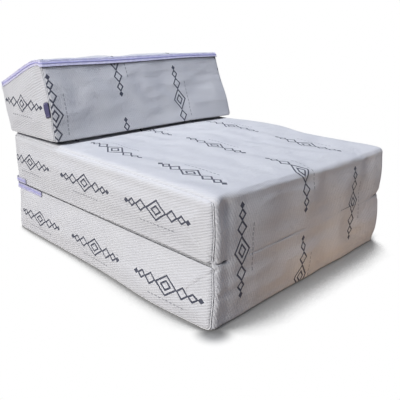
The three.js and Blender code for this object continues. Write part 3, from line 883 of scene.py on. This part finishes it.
def forms():
    """The side outlines of the two blocks and the backrest: corners from the top of the back, clockwise,
    with their radii, and for each edge from there its swell, its points and its rounding."""
    s = bpy.context.scene.mattress_shape
    front = s.front_rounding
    lower = make_form(
        [(BLOCK_BACK, LOWER_TOP), (BLOCK_BACK, 0.0), (-BLOCK_BACK, 0.0), (-BLOCK_BACK, LOWER_TOP)],
        [0.004, 0.014, 0.009, 0.006],
        [0.004, 0.0, 0.004, 0.0],
        [30, 84, 34, 110],
        [front, s.floor_rounding, front, s.fold_rounding],
    )
    upper = make_form(
        [(BLOCK_BACK, UPPER_FOOT), (-BLOCK_BACK, UPPER_FOOT), (-BLOCK_BACK, NOSE_TOP), (BLOCK_BACK, 0.3083)],
        [0.004, 0.006, s.seat_nose, 0.010],
        [0.0, 0.004, 0.0, 0.004],
        [110, 34, 130, 30],
        [s.fold_rounding, front, s.seat_rounding, front],
    )
    wedge = make_form(
        [(0.4819, 0.4520), (0.4380, WEDGE_FOOT), (0.1590, 0.3140), tuple(WEDGE_FRONT_TOP)],
        [0.021, 0.006, 0.004, 0.005],
        [0.004, 0.0, 0.003, 0.0],
        [26, 44, 44, 48],
        [0.017, 0.010, 0.013, s.lid_rounding],
        arc=7,
    )
    # ahead of the middle the fold's lips stand wider open
    for form, away in ((lower, lower["out"][:, 1] - 0.132), (upper, 0.168 - upper["out"][:, 1])):
        wider = 0.65 * smooth(away / 0.014) * smooth((0.08 - form["out"][:, 0]) / 0.28)
        form["round"] = form["round"] * (1.0 + wider)
    hub = wedge_place(0.135, -0.105)
    lower.update(spine=np.array([(-0.360, 0.075), (0.360, 0.075)]), tail=1)
    upper.update(spine=np.array([(-0.360, 0.2260), (0.360, 0.2290)]), tail=1)
    wedge.update(spine=np.array([hub, hub]), tail=5)
    return lower, upper, wedge


def with_x(x, place):
    """Places in the side view with their X, as points."""
    return np.stack(np.broadcast_arrays(x, place[..., 0], place[..., 1]), -1)


def seam_fade(x, reach=0.03):
    """0 at the side seams, 1 from reach inwards."""
    return smooth((SEAM_HALF - 0.005 - np.abs(x)) / reach)


def strip_panel(name, form, rows, columns, relief, settle, inside, uv_start, sunk=0.0, free=None):
    """A strip panel with its relief laid on along the outline's normal, faded to nothing at every seam.
    Beside its side seams it may lie sunk by a depth, down within 6 mm of the seam and back at the outline
    34 mm from it. Where free, a share from 0 to 1 over Y and Z, is given, the panel settles as cloth
    there."""
    x, inset, place, normal = strip_grid(form, rows, columns)
    run = run_along(form["out"][rows])
    to_end = np.minimum(run, run[-1] - run)[:, None]
    if sunk > 0.0:
        away = SEAM_HALF - np.abs(x)
        low = sunk * smooth(away / 0.006 + 0.25) * (1.0 - smooth((away - 0.010) / 0.024))
        place = place + (np.maximum(inset, low) - inset)[..., None] * form["inward"][rows][:, None, :]
    run = np.broadcast_to(run[:, None], x.shape)
    lift = relief(x, run, place[..., 0], place[..., 1]) * seam_fade(x) * smooth(to_end / 0.02)
    points = settle(with_x(x, place + normal * lift[..., None]))
    if free is not None:
        let_go = seam_fade(x, 0.05) * smooth(to_end / 0.04) * free(place[..., 0], place[..., 1])
        points = settled_grid(points, 1.0 - LET_GO * let_go, inside)
    return surface(name, points, np.stack([uv_start[0] + x, uv_start[1] + run], -1), inside)


def side_panel(name, form, side, layers, relief, settle, inside, motif_height, motif_place):
    """A side panel with its relief laid on across X, faded to nothing at the seam. Its cloth lies with the
    ribs and motifs turned a quarter, one row of motifs at motif_height, with a motif's middle at
    motif_place."""
    swell = bpy.context.scene.mattress_shape.side_swell
    finish = bpy.context.scene.mattress_finish
    x, inset, place = side_grid(form, side, layers, swell)
    from_seam = inset - form["round"][None]
    points = settle(with_x(x + side * relief(place[..., 0], place[..., 1]) * smooth(from_seam / 0.03), place))
    up = motif_height + finish.motif_pitch * 0.5 - place[..., 1]
    along = side * (place[..., 0] - motif_place) + finish.motif_repeat * 0.5
    near_seam = 1.0 - smooth((from_seam - 0.002) / 0.030)
    hold = 0.30 + 0.70 * np.maximum(near_seam, np.abs(x) < SEAM_HALF - 0.0004)
    panel = surface(name, points, np.stack([up, along], -1), inside, closed=True, merge=0.0004, hold=hold)
    settle_piece(panel)
    return panel


def welt_bars(form, rows, settle, radius):
    """The seam ridges of both sides: round bars along the seam, half way round the edge's rounding."""
    half_way = math.pi / 4.0
    r = form["round"][rows]
    place = form["out"][rows] + (r * (1.0 - math.cos(half_way)))[:, None] * form["inward"][rows]
    bars = []
    for side in (-1.0, 1.0):
        path = settle(with_x(side * (SEAM_HALF - r * (1.0 - math.sin(half_way))), place))
        out = unit(with_x(side * np.ones(len(rows)), form["normal"][rows]))
        across = np.cross(unit(np.gradient(path, axis=0)), out)
        bars.append(tube_grid(path - out * radius * 0.25, across, out, radius, radius))
    return bars


# Operators: cushions


def seat_relief(x, y, z, front, top):
    """The seat cloth's unevenness, as lengths along its normal. Front: broad waves, flat ripples low down, a
    stretched ridge under the nose, hollows beside the left corner. Top: a crown between the edges and waves,
    flat where the backrest rests."""
    s = bpy.context.scene.mattress_shape
    waver = s.ripple * waves(x, z, 11, 0.09, 0.26)
    low = 0.35 + 0.65 * smooth((0.16 - z) / 0.1)
    flat_ripple = s.ripple * 0.7 * waves(x * 0.30, z, 12, 0.035, 0.09) * low
    ridge_height = 0.262 - 0.05 * (x + 0.10) - 0.9 * (x + 0.10) ** 2
    ridge = 0.0012 * hump(z - ridge_height, 0.006) * smooth((x + 0.22) / 0.06) * smooth((0.03 - x) / 0.06)
    hollow = -0.0090 * hump(x + 0.313, 0.017) * hump(z - 0.266, 0.028)
    hollow = hollow - 0.0022 * hump(x + 0.310, 0.014) * smooth((0.27 - z) / 0.05)
    left = hump(x + SEAM_HALF, 0.075)
    nick = -0.0030 * left * hump(z - 0.078, 0.008) + 0.0016 * left * hump(z - 0.092, 0.008)
    face = waver + flat_ripple + ridge + hollow + nick
    free = 1.0 - smooth((y - 0.125) / 0.035)
    crown = s.seat_crown * (1.0 - (x / SEAM_HALF) ** 2) * smooth((y + 0.44) / 0.14)
    broad = s.ripple * waves(x, y, 13, 0.14, 0.40)
    above = (crown + broad + 0.0002 * waves(x, y * 0.7, 14, 0.05, 0.10)) * free
    return face * front + above * top


def stretch_over_fold(x, y, z, ahead, floor_end, nose, meeting):
    """Draws the cloth straight over the fold, away from the corners, and spreads the nine rows each side of
    the meeting row evenly over its height there. Changes y and z."""
    wall = smooth((z - floor_end) / 0.03) * smooth((nose - z) / 0.03)
    tight = smooth((SEAM_HALF - 0.010 - np.abs(x)) / 0.060) * wall * ahead
    valley = np.where(x < 0.0, 0.0085, 0.0012) * hump(np.abs(x) - SEAM_HALF, 0.036)
    straight = -0.4338 + valley * hump(z - FOLD_HEIGHT - 0.002, 0.008)
    y += (straight - y) * tight * smooth((0.05 - np.abs(z - FOLD_HEIGHT)) / 0.04)
    near = slice(meeting - 9, meeting + 9)
    even = np.linspace(0.0, 1.0, 18)[:, None]
    z_even = z[near][0] + (z[near][-1] - z[near][0]) * even
    z[near] += (z_even - z[near]) * tight[near]


class MATTRESS_OT_seat_cloth(Operator):
    """Builds the one cloth that wraps both blocks: under the lower one, up the front over the fold, and
    over the seat."""

    bl_idname = "mattress.seat_cloth"
    bl_label = "Seat cloth"

    def execute(self, context):
        lower, upper, _ = forms()
        half_arc = lower["arc"] // 2
        low_rows = np.arange(lower["marks"][1], lower["marks"][3] + half_arc)
        up_rows = np.arange(upper["marks"][1] - half_arc + 1, upper["marks"][3] + 1)
        grids = zip(strip_grid(lower, low_rows, SEAT_COLUMNS), strip_grid(upper, up_rows, SEAT_COLUMNS))
        x, _, place, normal = (np.concatenate(pair) for pair in grids)
        y, z = place[..., 0], place[..., 1]
        floor_end, nose = 0.016, NOSE_TOP - context.scene.mattress_shape.seat_nose
        ahead = (y < -0.30) & (z > floor_end) & (z < nose)
        stretch_over_fold(x, y, z, ahead, floor_end, nose, len(low_rows))
        # relief, and a hollow under the backrest
        front, top = smooth(-normal[..., 0] * 1.4 - 0.2), smooth(normal[..., 1] * 1.4 - 0.2)
        front = np.maximum(front, (ahead & (np.abs(z - FOLD_HEIGHT) < 0.02)).astype(float))
        run = run_along(np.stack([y, z], -1)[:, SEAT_COLUMNS // 2])[:, None]
        lift = seat_relief(x, y, z, front, top) * seam_fade(x)
        lift = lift * smooth(run / 0.02) * smooth((run[-1] - run) / 0.02)
        y, z = y - lift * front, z + lift * top
        pressed = smooth((y - 0.163) / 0.012) * (1.0 - smooth((y - 0.27) / 0.08))
        z = z - 0.004 * top * pressed * seam_fade(x, 0.06)
        # each block's share of the cloth settles with it
        points = np.stack([x, y, z], -1)
        upper_share = smooth((z - 0.148) / 0.006)[..., None]
        up, down = settle_upper(points) - points, settle_lower(points) - points
        points = points + up * upper_share + down * (1.0 - upper_share)
        free = seam_fade(x, 0.05) * smooth((np.abs(z - FOLD_HEIGHT) - 0.014) / 0.02)
        free = free * smooth((z - 0.012) / 0.02) * (1.0 - smooth((y - 0.10) / 0.04))
        points = settled_grid(points, 1.0 - LET_GO * free, INSIDE_SEAT)
        uv = np.stack([x - 0.083, np.broadcast_to(run, x.shape)], -1)
        cloth = surface("seat_outer_cloth", points, uv, INSIDE_SEAT)
        covers = ("lower_outer_cover", "upper_outer_cover", "lower_foam_core", "upper_foam_core")
        dress_cover(cloth, None, BLOCK_FILL, *covers)
        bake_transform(cloth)
        return {"FINISHED"}


class MATTRESS_OT_block_panels(Operator):
    """Builds the blocks' side panels, back walls and the sleeping sides that lie face to face."""

    bl_idname = "mattress.block_panels"
    bl_label = "Block panels"

    def execute(self, context):
        ripple = context.scene.mattress_shape.ripple
        lower, upper, _ = forms()
        # middle height, seed, motif height and place, ends of the back wall and bed face, and how deep the
        # bed face lies beside its seams
        for body, form, settle, middle, seed, motif_height, motif_place, back, bed, sunk in (
            ("lower", lower, settle_lower, 0.075, 21, 0.064, -0.295, (0, 1), (3, 0), 0.009),
            ("upper", upper, settle_upper, 0.228, 31, 0.232, -0.257, (3, 0), (0, 1), 0.004),
        ):
            inside = (0.0, 0.0, middle)
            for side, word in ((-1, "left"), (1, "right")):

                def side_relief(y, z, seed=seed, side=side):
                    broad = waves(y, z, seed + side, 0.12, 0.36)
                    return ripple * (0.7 * broad + 0.15 * waves(y * 0.5, z, seed + side + 5, 0.04, 0.08))

                name = f"{body}_{word}_panel"
                panel = side_panel(
                    name, form, side, 16, side_relief, settle, inside, motif_height, motif_place
                )
                dress_cover(panel, body, BLOCK_FILL, f"{body}_{word}_side")

            def wall_relief(x, run, y, z, seed=seed):
                return ripple * waves(x, z, seed + 3, 0.08, 0.25)

            def wall_free(y, z):
                return smooth((z - 0.02) / 0.02) * smooth((0.262 - z) / 0.02)

            def bed_relief(x, run, y, z, seed=seed):
                return -0.0007 * (1.0 + np.clip(waves(x, y, seed + 4, 0.09, 0.30), -1.0, 1.0))

            rows, name = rows_between(form, *back), f"{body}_back_wall"
            wall = strip_panel(
                name, form, rows, BLOCK_COLUMNS, wall_relief, settle, inside, (0.115, 1.9), free=wall_free
            )
            dress_cover(wall, body, BLOCK_FILL)
            rows, name = rows_between(form, *bed), f"{body}_bed_face"
            face = strip_panel(
                name, form, rows, BLOCK_COLUMNS, bed_relief, as_built, inside, (0.115, 0.04), sunk
            )
            dress_cover(face, body, BLOCK_FILL, f"{body}_sleeping_side")
        return {"FINISHED"}


class MATTRESS_OT_backrest(Operator):
    """Builds the backrest's front, bottom and back cloth, its side panels and its crowned lid."""

    bl_idname = "mattress.backrest"
    bl_label = "Backrest"

    def execute(self, context):
        s = context.scene.mattress_shape
        wedge, inside = forms()[2], INSIDE_BACKREST

        def wrap_relief(x, run, y, z):
            back, above = wedge_local(np.stack([x, y, z], -1))
            front = smooth((0.05 - back) / 0.04) * smooth((z - 0.325) / 0.03)
            behind = 0.6 * smooth((back - 0.2) / 0.03) * smooth((z - 0.33) / 0.03)
            level = 0.0003 * waves(x * 0.25, above, 43, 0.022, 0.06)
            return (s.ripple * 0.7 * waves(x, above, 41, 0.12, 0.32) + level) * np.maximum(front, behind)

        def wrap_free(y, z):
            return smooth((z - 0.335) / 0.03)

        def lid_relief(x, run, y, z):
            share = np.clip(run / LID_LENGTH, 0.0, 1.0)
            across = 1.0 - (np.abs(x) / SEAM_HALF) ** 2.5
            crown = s.lid_crown * np.sin(math.pi * share**0.85) * across
            return crown + 0.9 * s.ripple * waves(x, run, 44, 0.09, 0.22)

        def lid_free(y, z):
            return np.ones_like(z)

        wrapped = ("backrest_outer_cover", "backrest_foam_core")
        for name, ends, relief, start, free, nodes in (
            ("backrest_cloth", (0, 3), wrap_relief, 0.52, wrap_free, wrapped),
            ("backrest_lid", (3, 0), lid_relief, 0.03, lid_free, ("backrest_lid_panel",)),
        ):
            rows, corner = rows_between(wedge, *ends), (-0.008, start)
            panel = strip_panel(
                name, wedge, rows, BACKREST_COLUMNS, relief, settle_backrest, inside, corner, free=free
            )
            dress_cover(panel, "backrest", BACKREST_FILL, *nodes)
        for side, word in ((-1, "left"), (1, "right")):

            def side_relief(y, z, seed=50 + side):
                return s.ripple * 1.2 * waves(y, z, seed, 0.07, 0.20)

            name = f"backrest_{word}_panel"
            panel = side_panel(name, wedge, side, 12, side_relief, settle_backrest, inside, 0.405, 0.335)
            dress_cover(panel, "backrest", BACKREST_FILL, f"backrest_{word}_side")
        return {"FINISHED"}


# Operators: trim


class MATTRESS_OT_seams(Operator):
    """Builds the fine raised ridges where the side panels are sewn to the strips."""

    bl_idname = "mattress.seams"
    bl_label = "Seam ridges"

    def execute(self, context):
        radius = context.scene.mattress_shape.welt
        lower, upper, wedge = forms()
        for body, form, settle, spans in (
            ("lower", lower, settle_lower, ((0, 1), (1, 2), (2, 3))),
            ("upper", upper, settle_upper, ((1, 2), (3, 0))),
            ("backrest", wedge, settle_backrest, ((0, 1), (1, 2), (2, 3))),
        ):
            bars = []
            for span in spans:
                bars += welt_bars(form, rows_between(form, *span), settle, radius)
            dress(joined(f"{body}_seam_ridges", bars), "cover_sewing", body)
        return {"FINISHED"}


def rim_path(run_at, leg_end, corner, step):
    """A zip's centre line seen from above its panel: along one side to a quarter circle, across, and back
    along the other side. Gives X, the place behind the panel's front edge, and the outward direction of
    each point."""
    half, way = 0.3508, 1.0 if run_at > leg_end else -1.0
    leg = np.arange(leg_end, run_at - way * corner, way * step)
    turn = np.linspace(0.0, math.pi / 2.0, 7)
    run = np.arange(-half + corner, half - corner, step)
    bend_x = -(half - corner) - corner * np.cos(turn)
    bend_y = run_at - way * corner + way * corner * np.sin(turn)
    left = np.stack(np.broadcast_arrays(-half, leg, -1.0, 0.0), 1)
    bend = np.stack([bend_x, bend_y, -np.cos(turn), way * np.sin(turn)], 1)
    across = np.stack(np.broadcast_arrays(run, run_at, 0.0, way), 1)
    mirror = np.array([-1.0, 1.0, -1.0, 1.0])
    return np.concatenate([left, bend, across[1:], (bend * mirror)[::-1], (left * mirror)[::-1]])


def beside(line, off, height):
    """Points off a zip's centre line by off outwards, at a height from its panel's plane."""
    path, place, settle = line
    height = np.broadcast_to(height, len(path))
    return settle(np.stack(place(path[:, 0] + path[:, 2] * off, path[:, 1] + path[:, 3] * off, height), -1))


def directions(line, off, height):
    """The points beside a centre line, and their outward and upward directions, by a millimetre's step."""
    here = beside(line, off, height)
    out, over = beside(line, off + 0.001, height) - here, beside(line, off, height + 0.001) - here
    return here, unit(out), unit(over)


def zip_tape(body, line, half, centre, lean):
    """The woven tape, seven points wide: dished by half a millimetre, wavering in two sines of its length,
    and leaning by lean at its lower edge."""
    run = run_along(beside(line, 0.0, centre))
    spread = np.linspace(-1.0, 1.0, 7)
    waver = 0.00035 * np.sin(run * FULL_TURN / 0.043) + 0.00025 * np.sin(run * FULL_TURN / 0.017)
    strips = [
        beside(line, 0.0002 + 0.0005 * e**2 + waver * e + lean * (1.0 - e), centre + half * e)
        for e in spread
    ]
    uv = np.stack(np.broadcast_arrays(run[:, None], spread[None] * half[:, None]), -1)
    inside = INSIDE_BACKREST if body == "backrest" else INSIDE_SEAT
    tape = surface(f"{body}_tape", np.stack(strips, 1), uv, inside)
    thicken(tape, 0.0006)
    return tape


def zip_coil(body, line, off, height):
    """The coil, whose half width and height swing with its teeth, one each 2.6 mm."""
    core, out, over = directions(line, off, height)
    tooth = 0.5 + 0.5 * np.sin(run_along(core) * FULL_TURN / 0.0026)
    bar = tube_grid(core, over, out, 0.0012 + 0.0006 * tooth, 0.0006 + 0.0006 * tooth)
    return joined(f"{body}_coil", [bar])


def zip_lips(line, half, centre, lean):
    """Cloth lips along both edges of the tape, and a tack across each of its ends."""
    lips = []
    for edge, lift in ((centre - half - 0.0001, 0.0004 + 2.0 * lean), (centre + half - 0.0001, 0.0002)):
        here, out, over = directions(line, lift, edge)
        lips.append(tube_grid(here, over, out, 0.0013, 0.0009))
    for end in (0, -1):
        heights = np.linspace(centre[end] - half[end], centre[end] + half[end], 7)
        tack = np.stack([beside(line, 0.0014, height)[end] for height in heights])
        out = unit(beside(line, 0.002, centre)[end] - beside(line, 0.001, centre)[end])
        out = np.broadcast_to(out, tack.shape)
        lips.append(tube_grid(tack, np.cross(unit(np.gradient(tack, axis=0)), out), out, 0.0022, 0.0009))
    return lips


def zip_threads(line, half, centre, lean):
    """A row of stitches 1.5 mm inside each edge of the tape."""
    threads = []
    for edge, share in ((centre - half + 0.0015, 1.8), (centre + half - 0.0015, 0.2)):
        here, out, _ = directions(line, 0.0011 + share * lean, edge)
        threads += stitches(here, out, 0.0052, 0.0036, 0.00035)
    return threads


class MATTRESS_OT_zips(Operator):
    """Builds the three zips: woven tape, toothed coil, cloth lips along both edges, and rows of stitches."""

    bl_idname = "mattress.zips"
    bl_label = "Zips"

    def execute(self, context):
        for body, place, settle, run_at, leg_end, corner in (
            ("lower", lambda x, a, h: (x, a, LOWER_TOP + h), settle_lower, 0.4309, 0.280, 0.009),
            ("upper", lambda x, a, h: (x, a, UPPER_FOOT - h), as_built, 0.4309, 0.370, 0.009),
            ("backrest", lambda x, a, h: (x, *wedge_place(a, h)), settle_backrest, -0.0009, 0.244, 0.007),
        ):
            on_backrest = body == "backrest"
            path = rim_path(run_at, leg_end, corner, 0.004)
            half, centre = np.full(len(path), 0.0068), np.full(len(path), -0.010)
            if on_backrest:
                # broad in front, narrower to the right and along the sides
                half = 0.0068 + np.abs(path[:, 3]) * (0.0016 - 0.0026 * smooth((path[:, 0] + 0.10) / 0.42))
                centre = -0.0015 - half
            lean = 0.0015 * on_backrest * np.abs(path[:, 3])
            line = (path, place, settle)
            # the coil's line has a point each 0.7 mm, at the height of the nearest point of the tape's
            fine = rim_path(run_at, leg_end + (0.004 if leg_end < run_at else -0.004), corner, 0.0007)
            gap = fine[:, None, :2] - path[None, :, :2]
            height = centre[np.argmin(np.hypot(gap[..., 0], gap[..., 1]), 1)]
            bed = 0.0010 + 0.0015 * on_backrest * np.abs(fine[:, 3])
            # the blocks' zips lie down in the fold and take the tape painted darker as shade
            cloth = "woven_tape" if on_backrest else "shaded_tape"
            dress(zip_tape(body, line, half, centre, lean), cloth, body, (f"{body}_zip_tape",))
            coil = zip_coil(body, (fine, place, settle), bed, height)
            dress(coil, "moulded_coil", body, (f"{body}_zip_coil",))
            dress(joined(f"{body}_zip_lips", zip_lips(line, half, centre, lean)), cloth, body)
            threads = joined(f"{body}_zip_stitches", zip_threads(line, half, centre, lean))
            dress(threads, "tape_sewing", body)
            for node in (f"{body}_zip_slider", f"{body}_zip_pull"):
                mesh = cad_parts[node].data
                mesh.materials.clear()
                mesh.materials.append(material("painted_slider"))
        return {"FINISHED"}


def hinge_leaf(node, body, wall, wall_z, leaf_z, sign, settle, inside):
    """One leaf of the hinge: an L in the side view, from the back wall out to the fold line, carried across
    X, with a bulge of half a millimetre in sine waves, and two rows of stitches."""
    low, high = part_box(node)
    y = np.concatenate([np.full(9, wall), np.linspace(wall + 0.001, high.y - 0.0006, 12)])
    z = np.concatenate([np.linspace(wall_z, leaf_z, 9), np.full(12, leaf_z)])
    if body == "backrest":
        y[:9] += (z[:9] - leaf_z) * math.tan(RECLINE)
    x = np.linspace(low.x, high.x, 90)
    grid = np.stack(np.broadcast_arrays(x[None], y[:, None], z[:, None]), -1).copy()
    share = np.linspace(0.0, 1.0, len(y))[:, None]
    swing = 1.0 + np.sin(x[None] * FULL_TURN / 0.085)
    grid[..., 2] += sign * 0.0005 * (share * (1.0 - share) * 4.0) * swing
    uv = np.stack(np.broadcast_arrays(x[None], run_along(np.stack([y, z], -1))[:, None]), -1)
    leaf = surface(f"{body}_hinge_leaf", settle(grid), uv, inside)
    thicken(leaf, 0.0016, 0.0)
    dress(leaf, "woven_hinge", body, (node,))
    threads = []
    for row, out in ((3, (0.0, 1.0, 0.0)), (18, (0.0, 0.0, sign))):
        out = np.tile(out, (len(x), 1))
        threads += stitches(grid[row] + out * 0.0011, out, 0.0065, 0.0045, 0.0004)
    dress(joined(f"{body}_hinge_stitches", threads), "cover_sewing", body)


def bare_tag():
    """The tag: a folded ribbon lying on the side panel, its root in the seam beside the front."""
    width, height = 0.018, 0.040
    along, down = np.linspace(0.0, 1.0, 12)[:, None], np.linspace(0.0, 1.0, 14)[None]
    lie = 0.0016 + 0.0042 * np.sin(along * math.pi * 0.62) + 0.0010 * np.sin(down * 5.0) * along
    above = -0.132 - (down - 0.5) * height + 0.0012 * np.sin(along * 3.0)
    y, z = wedge_place(0.001 + along * width, above)
    grid = settle_backrest(np.stack(np.broadcast_arrays(-(SEAM_HALF + lie), y, z), -1))
    uv = np.stack(np.broadcast_arrays(along * width, down * height), -1)
    tag = surface("label_ribbon", grid, uv, INSIDE_BACKREST)
    thicken(tag, 0.0011)
    dress(tag, "woven_tag", "backrest", ("label_tag",))
    hem = []
    for line in (grid[1:, 1], grid[1:, -2], grid[-2]):
        out = np.tile([-1.0, 0.0, 0.0], (len(line), 1))
        hem += stitches(line + out * 0.0004, out, 0.0034, 0.0024, 0.0003)
    dress(joined("label_hem", hem), "tape_sewing", "backrest")


class MATTRESS_OT_hinge_and_tag(Operator):
    """Builds the two leaves of the cloth hinge behind the backrest and the bare tag in its left seam."""

    bl_idname = "mattress.hinge_and_tag"
    bl_label = "Hinge and tag"

    def execute(self, context):
        for node, body, wall, wall_z, leaf_z, sign, settle, middle in (
            ("seat_hinge_strip", "upper", 0.4345, 0.2863, 0.3074, -1.0, settle_upper, 0.20),
            ("backrest_hinge_strip", "backrest", 0.4400, 0.3306, 0.3095, 1.0, as_built, 0.42),
        ):
            hinge_leaf(node, body, wall, wall_z, leaf_z, sign, settle, (0.0, 0.30, middle))
        bare_tag()
        return {"FINISHED"}


# The stage

WHITE = (1.0, 1.0, 1.0)
PAPER = (1.0, 0.985, 0.945)
NEAREST_CORNER = (-0.352, -0.436, 0.0)


def floor_paper(look):
    """Pale paper. The light that it throws back is plain, and warm ahead of the front. Where it is seen, it
    has a
    painted shadow: its colour darkens close to the object, and from a hand's width off it is as white as the
    sky behind it, along the left side from nearer than that, and from nearer still towards the back."""
    n = Nodes(bpy.data.materials.new("floor_paper"))
    seen, places = n.seen(), n.places()
    plain = n.mix(n.noise(places, 6.0, 3.0), toned(look.ground, 0.97), toned(look.ground, 1.03))
    patch = n.step(n.reach(places, (0.09, -0.55, 0.0)), 0.05, 0.50, 1.0, 0.0)
    bounce = n.shader("BsdfDiffuse", Color=n.mix(patch, plain, look.warm))
    near, corner = n.openness(0.20, 16), n.reach(places, NEAREST_CORNER)
    # painted shadow: the paper's colour and glow darken where the object stands near, and more round its
    # nearest corner
    painted_shadow = n.step(near, 0.68, 1.0, 0.32, 1.0) * n.step(corner, 0.0, 0.075, 0.70, 1.0)
    paper = n.shader("BsdfDiffuse", Color=n.mix(painted_shadow, (0.0, 0.0, 0.0), PAPER))
    glow = n.shader("Emission", Color=WHITE, Strength=painted_shadow * 0.12)
    both = n.field("AddShader", 0, {0: paper, 1: glow})
    x, y, _ = n.split(places)
    # how far the painted shadow reaches before the paper turns to plain white emission: farthest ahead of the
    # front, nearer along the left side, nearer still towards the back, and always close round the nearest
    # corner
    bare = n.step(x, -0.42, -0.30, n.step(y, -0.38, 0.25, 0.65, 0.50), 0.755)
    off = n.math("MINIMUM", n.step(corner, 0.014, 0.054), n.step(near, bare - 0.15, bare))
    return n.end(n.either(seen, bounce, n.either(off, both, n.shader("Emission", Color=WHITE))))


def add_sky(scene, strength):
    """Even light, cooler and stronger from above, white where the camera or a glossy surface sees it."""
    scene.world = bpy.data.worlds.new("sky")
    n = Nodes(scene.world)
    seen = n.seen()
    dome = n.node("ValToRGB", {0: n.split(n.places("Generated"))[2]})
    dome.color_ramp.elements[0].color = (0.120, 0.126, 0.138, 1.0)
    dome.color_ramp.elements[1].color = (0.310, 0.340, 0.420, 1.0)
    even = n.shader("Background", Color=dome.outputs[0], Strength=strength)
    n.end(n.either(seen, even, n.shader("Background", Color=WHITE, Strength=1.0)))


def add_light(name, kind, power, tint, place, turn):
    """A light at a place, turned by angles about X, Y and Z. Gives its data."""
    data = bpy.data.lights.new(name, kind)
    data.energy, data.color = power, tint
    light = bpy.data.objects.new(name, data)
    light.location, light.rotation_euler = place, turn
    light.visible_camera = False
    bpy.context.scene.collection.objects.link(light)
    return data


class MATTRESS_OT_stage(Operator):
    """Builds the camera, the pale floor, the key light, the two soft lights and the even light from all
    round."""

    bl_idname = "mattress.stage"
    bl_label = "Stage"

    def execute(self, context):
        scene, look = context.scene, context.scene.mattress_stage
        scene.view_settings.view_transform = "Standard"
        lens = bpy.data.cameras.new("camera")
        lens.lens, lens.sensor_width, lens.shift_y = look.lens, 36.0, -0.0375
        camera = bpy.data.objects.new("camera", lens)
        camera.location = look.place
        camera.rotation_euler = (math.pi / 2.0 - look.elevation, 0.0, look.azimuth)
        scene.collection.objects.link(camera)
        scene.camera = camera
        x, y = np.meshgrid(*[np.linspace(-14.0, 14.0, 41)] * 2)
        grid = np.stack([x, y, np.zeros_like(x)], -1)
        floor = surface("floor", grid, grid[..., :2], (0.0, 0.0, -1.0))
        floor.data.materials.append(floor_paper(look))
        towards = unit(np.array([-0.86, -0.005, 0.47]))
        turn = (math.acos(towards[2]), 0.0, math.atan2(towards[0], -towards[1]))
        key = add_light("key_light", "SUN", look.key, (1.0, 0.985, 0.965), (0.0, 0.0, 0.0), turn)
        key.angle = math.radians(17.0)
        above, level = (math.radians(4.0), 0.0, 0.0), (math.pi / 2.0, 0.0, -math.pi / 2.0)
        add_light("overhead_light", "AREA", 14.6, (0.88, 0.96, 1.14), (0.0, -0.03, 2.2), above).size = 1.3
        add_light("side_light", "AREA", 3.3, (1.0, 0.99, 0.97), (-2.2, -0.45, 0.28), level).size = 0.9
        add_sky(scene, look.sky)
        return {"FINISHED"}


# Add-on


class MATTRESS_PT_panel(Panel):
    """Lists the settings and the building steps in the sidebar."""

    bl_idname = "MATTRESS_PT_panel"
    bl_label = "Folding mattress"
    bl_space_type = "VIEW_3D"
    bl_region_type = "UI"
    bl_category = "Mattress"

    def draw(self, context):
        scene = context.scene
        for group in (scene.mattress_shape, scene.mattress_finish, scene.mattress_stage):
            column = self.layout.column()
            for key in type(group).__annotations__:
                column.prop(group, key)
        for step in STEPS:
            self.layout.operator(step.bl_idname)


STEPS = (
    MATTRESS_OT_stage,
    MATTRESS_OT_seat_cloth,
    MATTRESS_OT_block_panels,
    MATTRESS_OT_backrest,
    MATTRESS_OT_seams,
    MATTRESS_OT_zips,
    MATTRESS_OT_hinge_and_tag,
)
CLASSES = (MattressShape, MattressFinish, MattressStage, *STEPS, MATTRESS_PT_panel)


def register():
    for kind in CLASSES:
        bpy.utils.register_class(kind)
    bpy.types.Scene.mattress_shape = PointerProperty(type=MattressShape)
    bpy.types.Scene.mattress_finish = PointerProperty(type=MattressFinish)
    bpy.types.Scene.mattress_stage = PointerProperty(type=MattressStage)


def unregister():
    del bpy.types.Scene.mattress_shape, bpy.types.Scene.mattress_finish, bpy.types.Scene.mattress_stage
    for kind in reversed(CLASSES):
        bpy.utils.unregister_class(kind)


def main():
    register()
    bpy.ops.mattress.stage()
    bpy.ops.mattress.seat_cloth()
    bpy.ops.mattress.block_panels()
    bpy.ops.mattress.backrest()
    bpy.ops.mattress.seams()
    bpy.ops.mattress.zips()
    bpy.ops.mattress.hinge_and_tag()


if __name__ == "__main__":
    main()
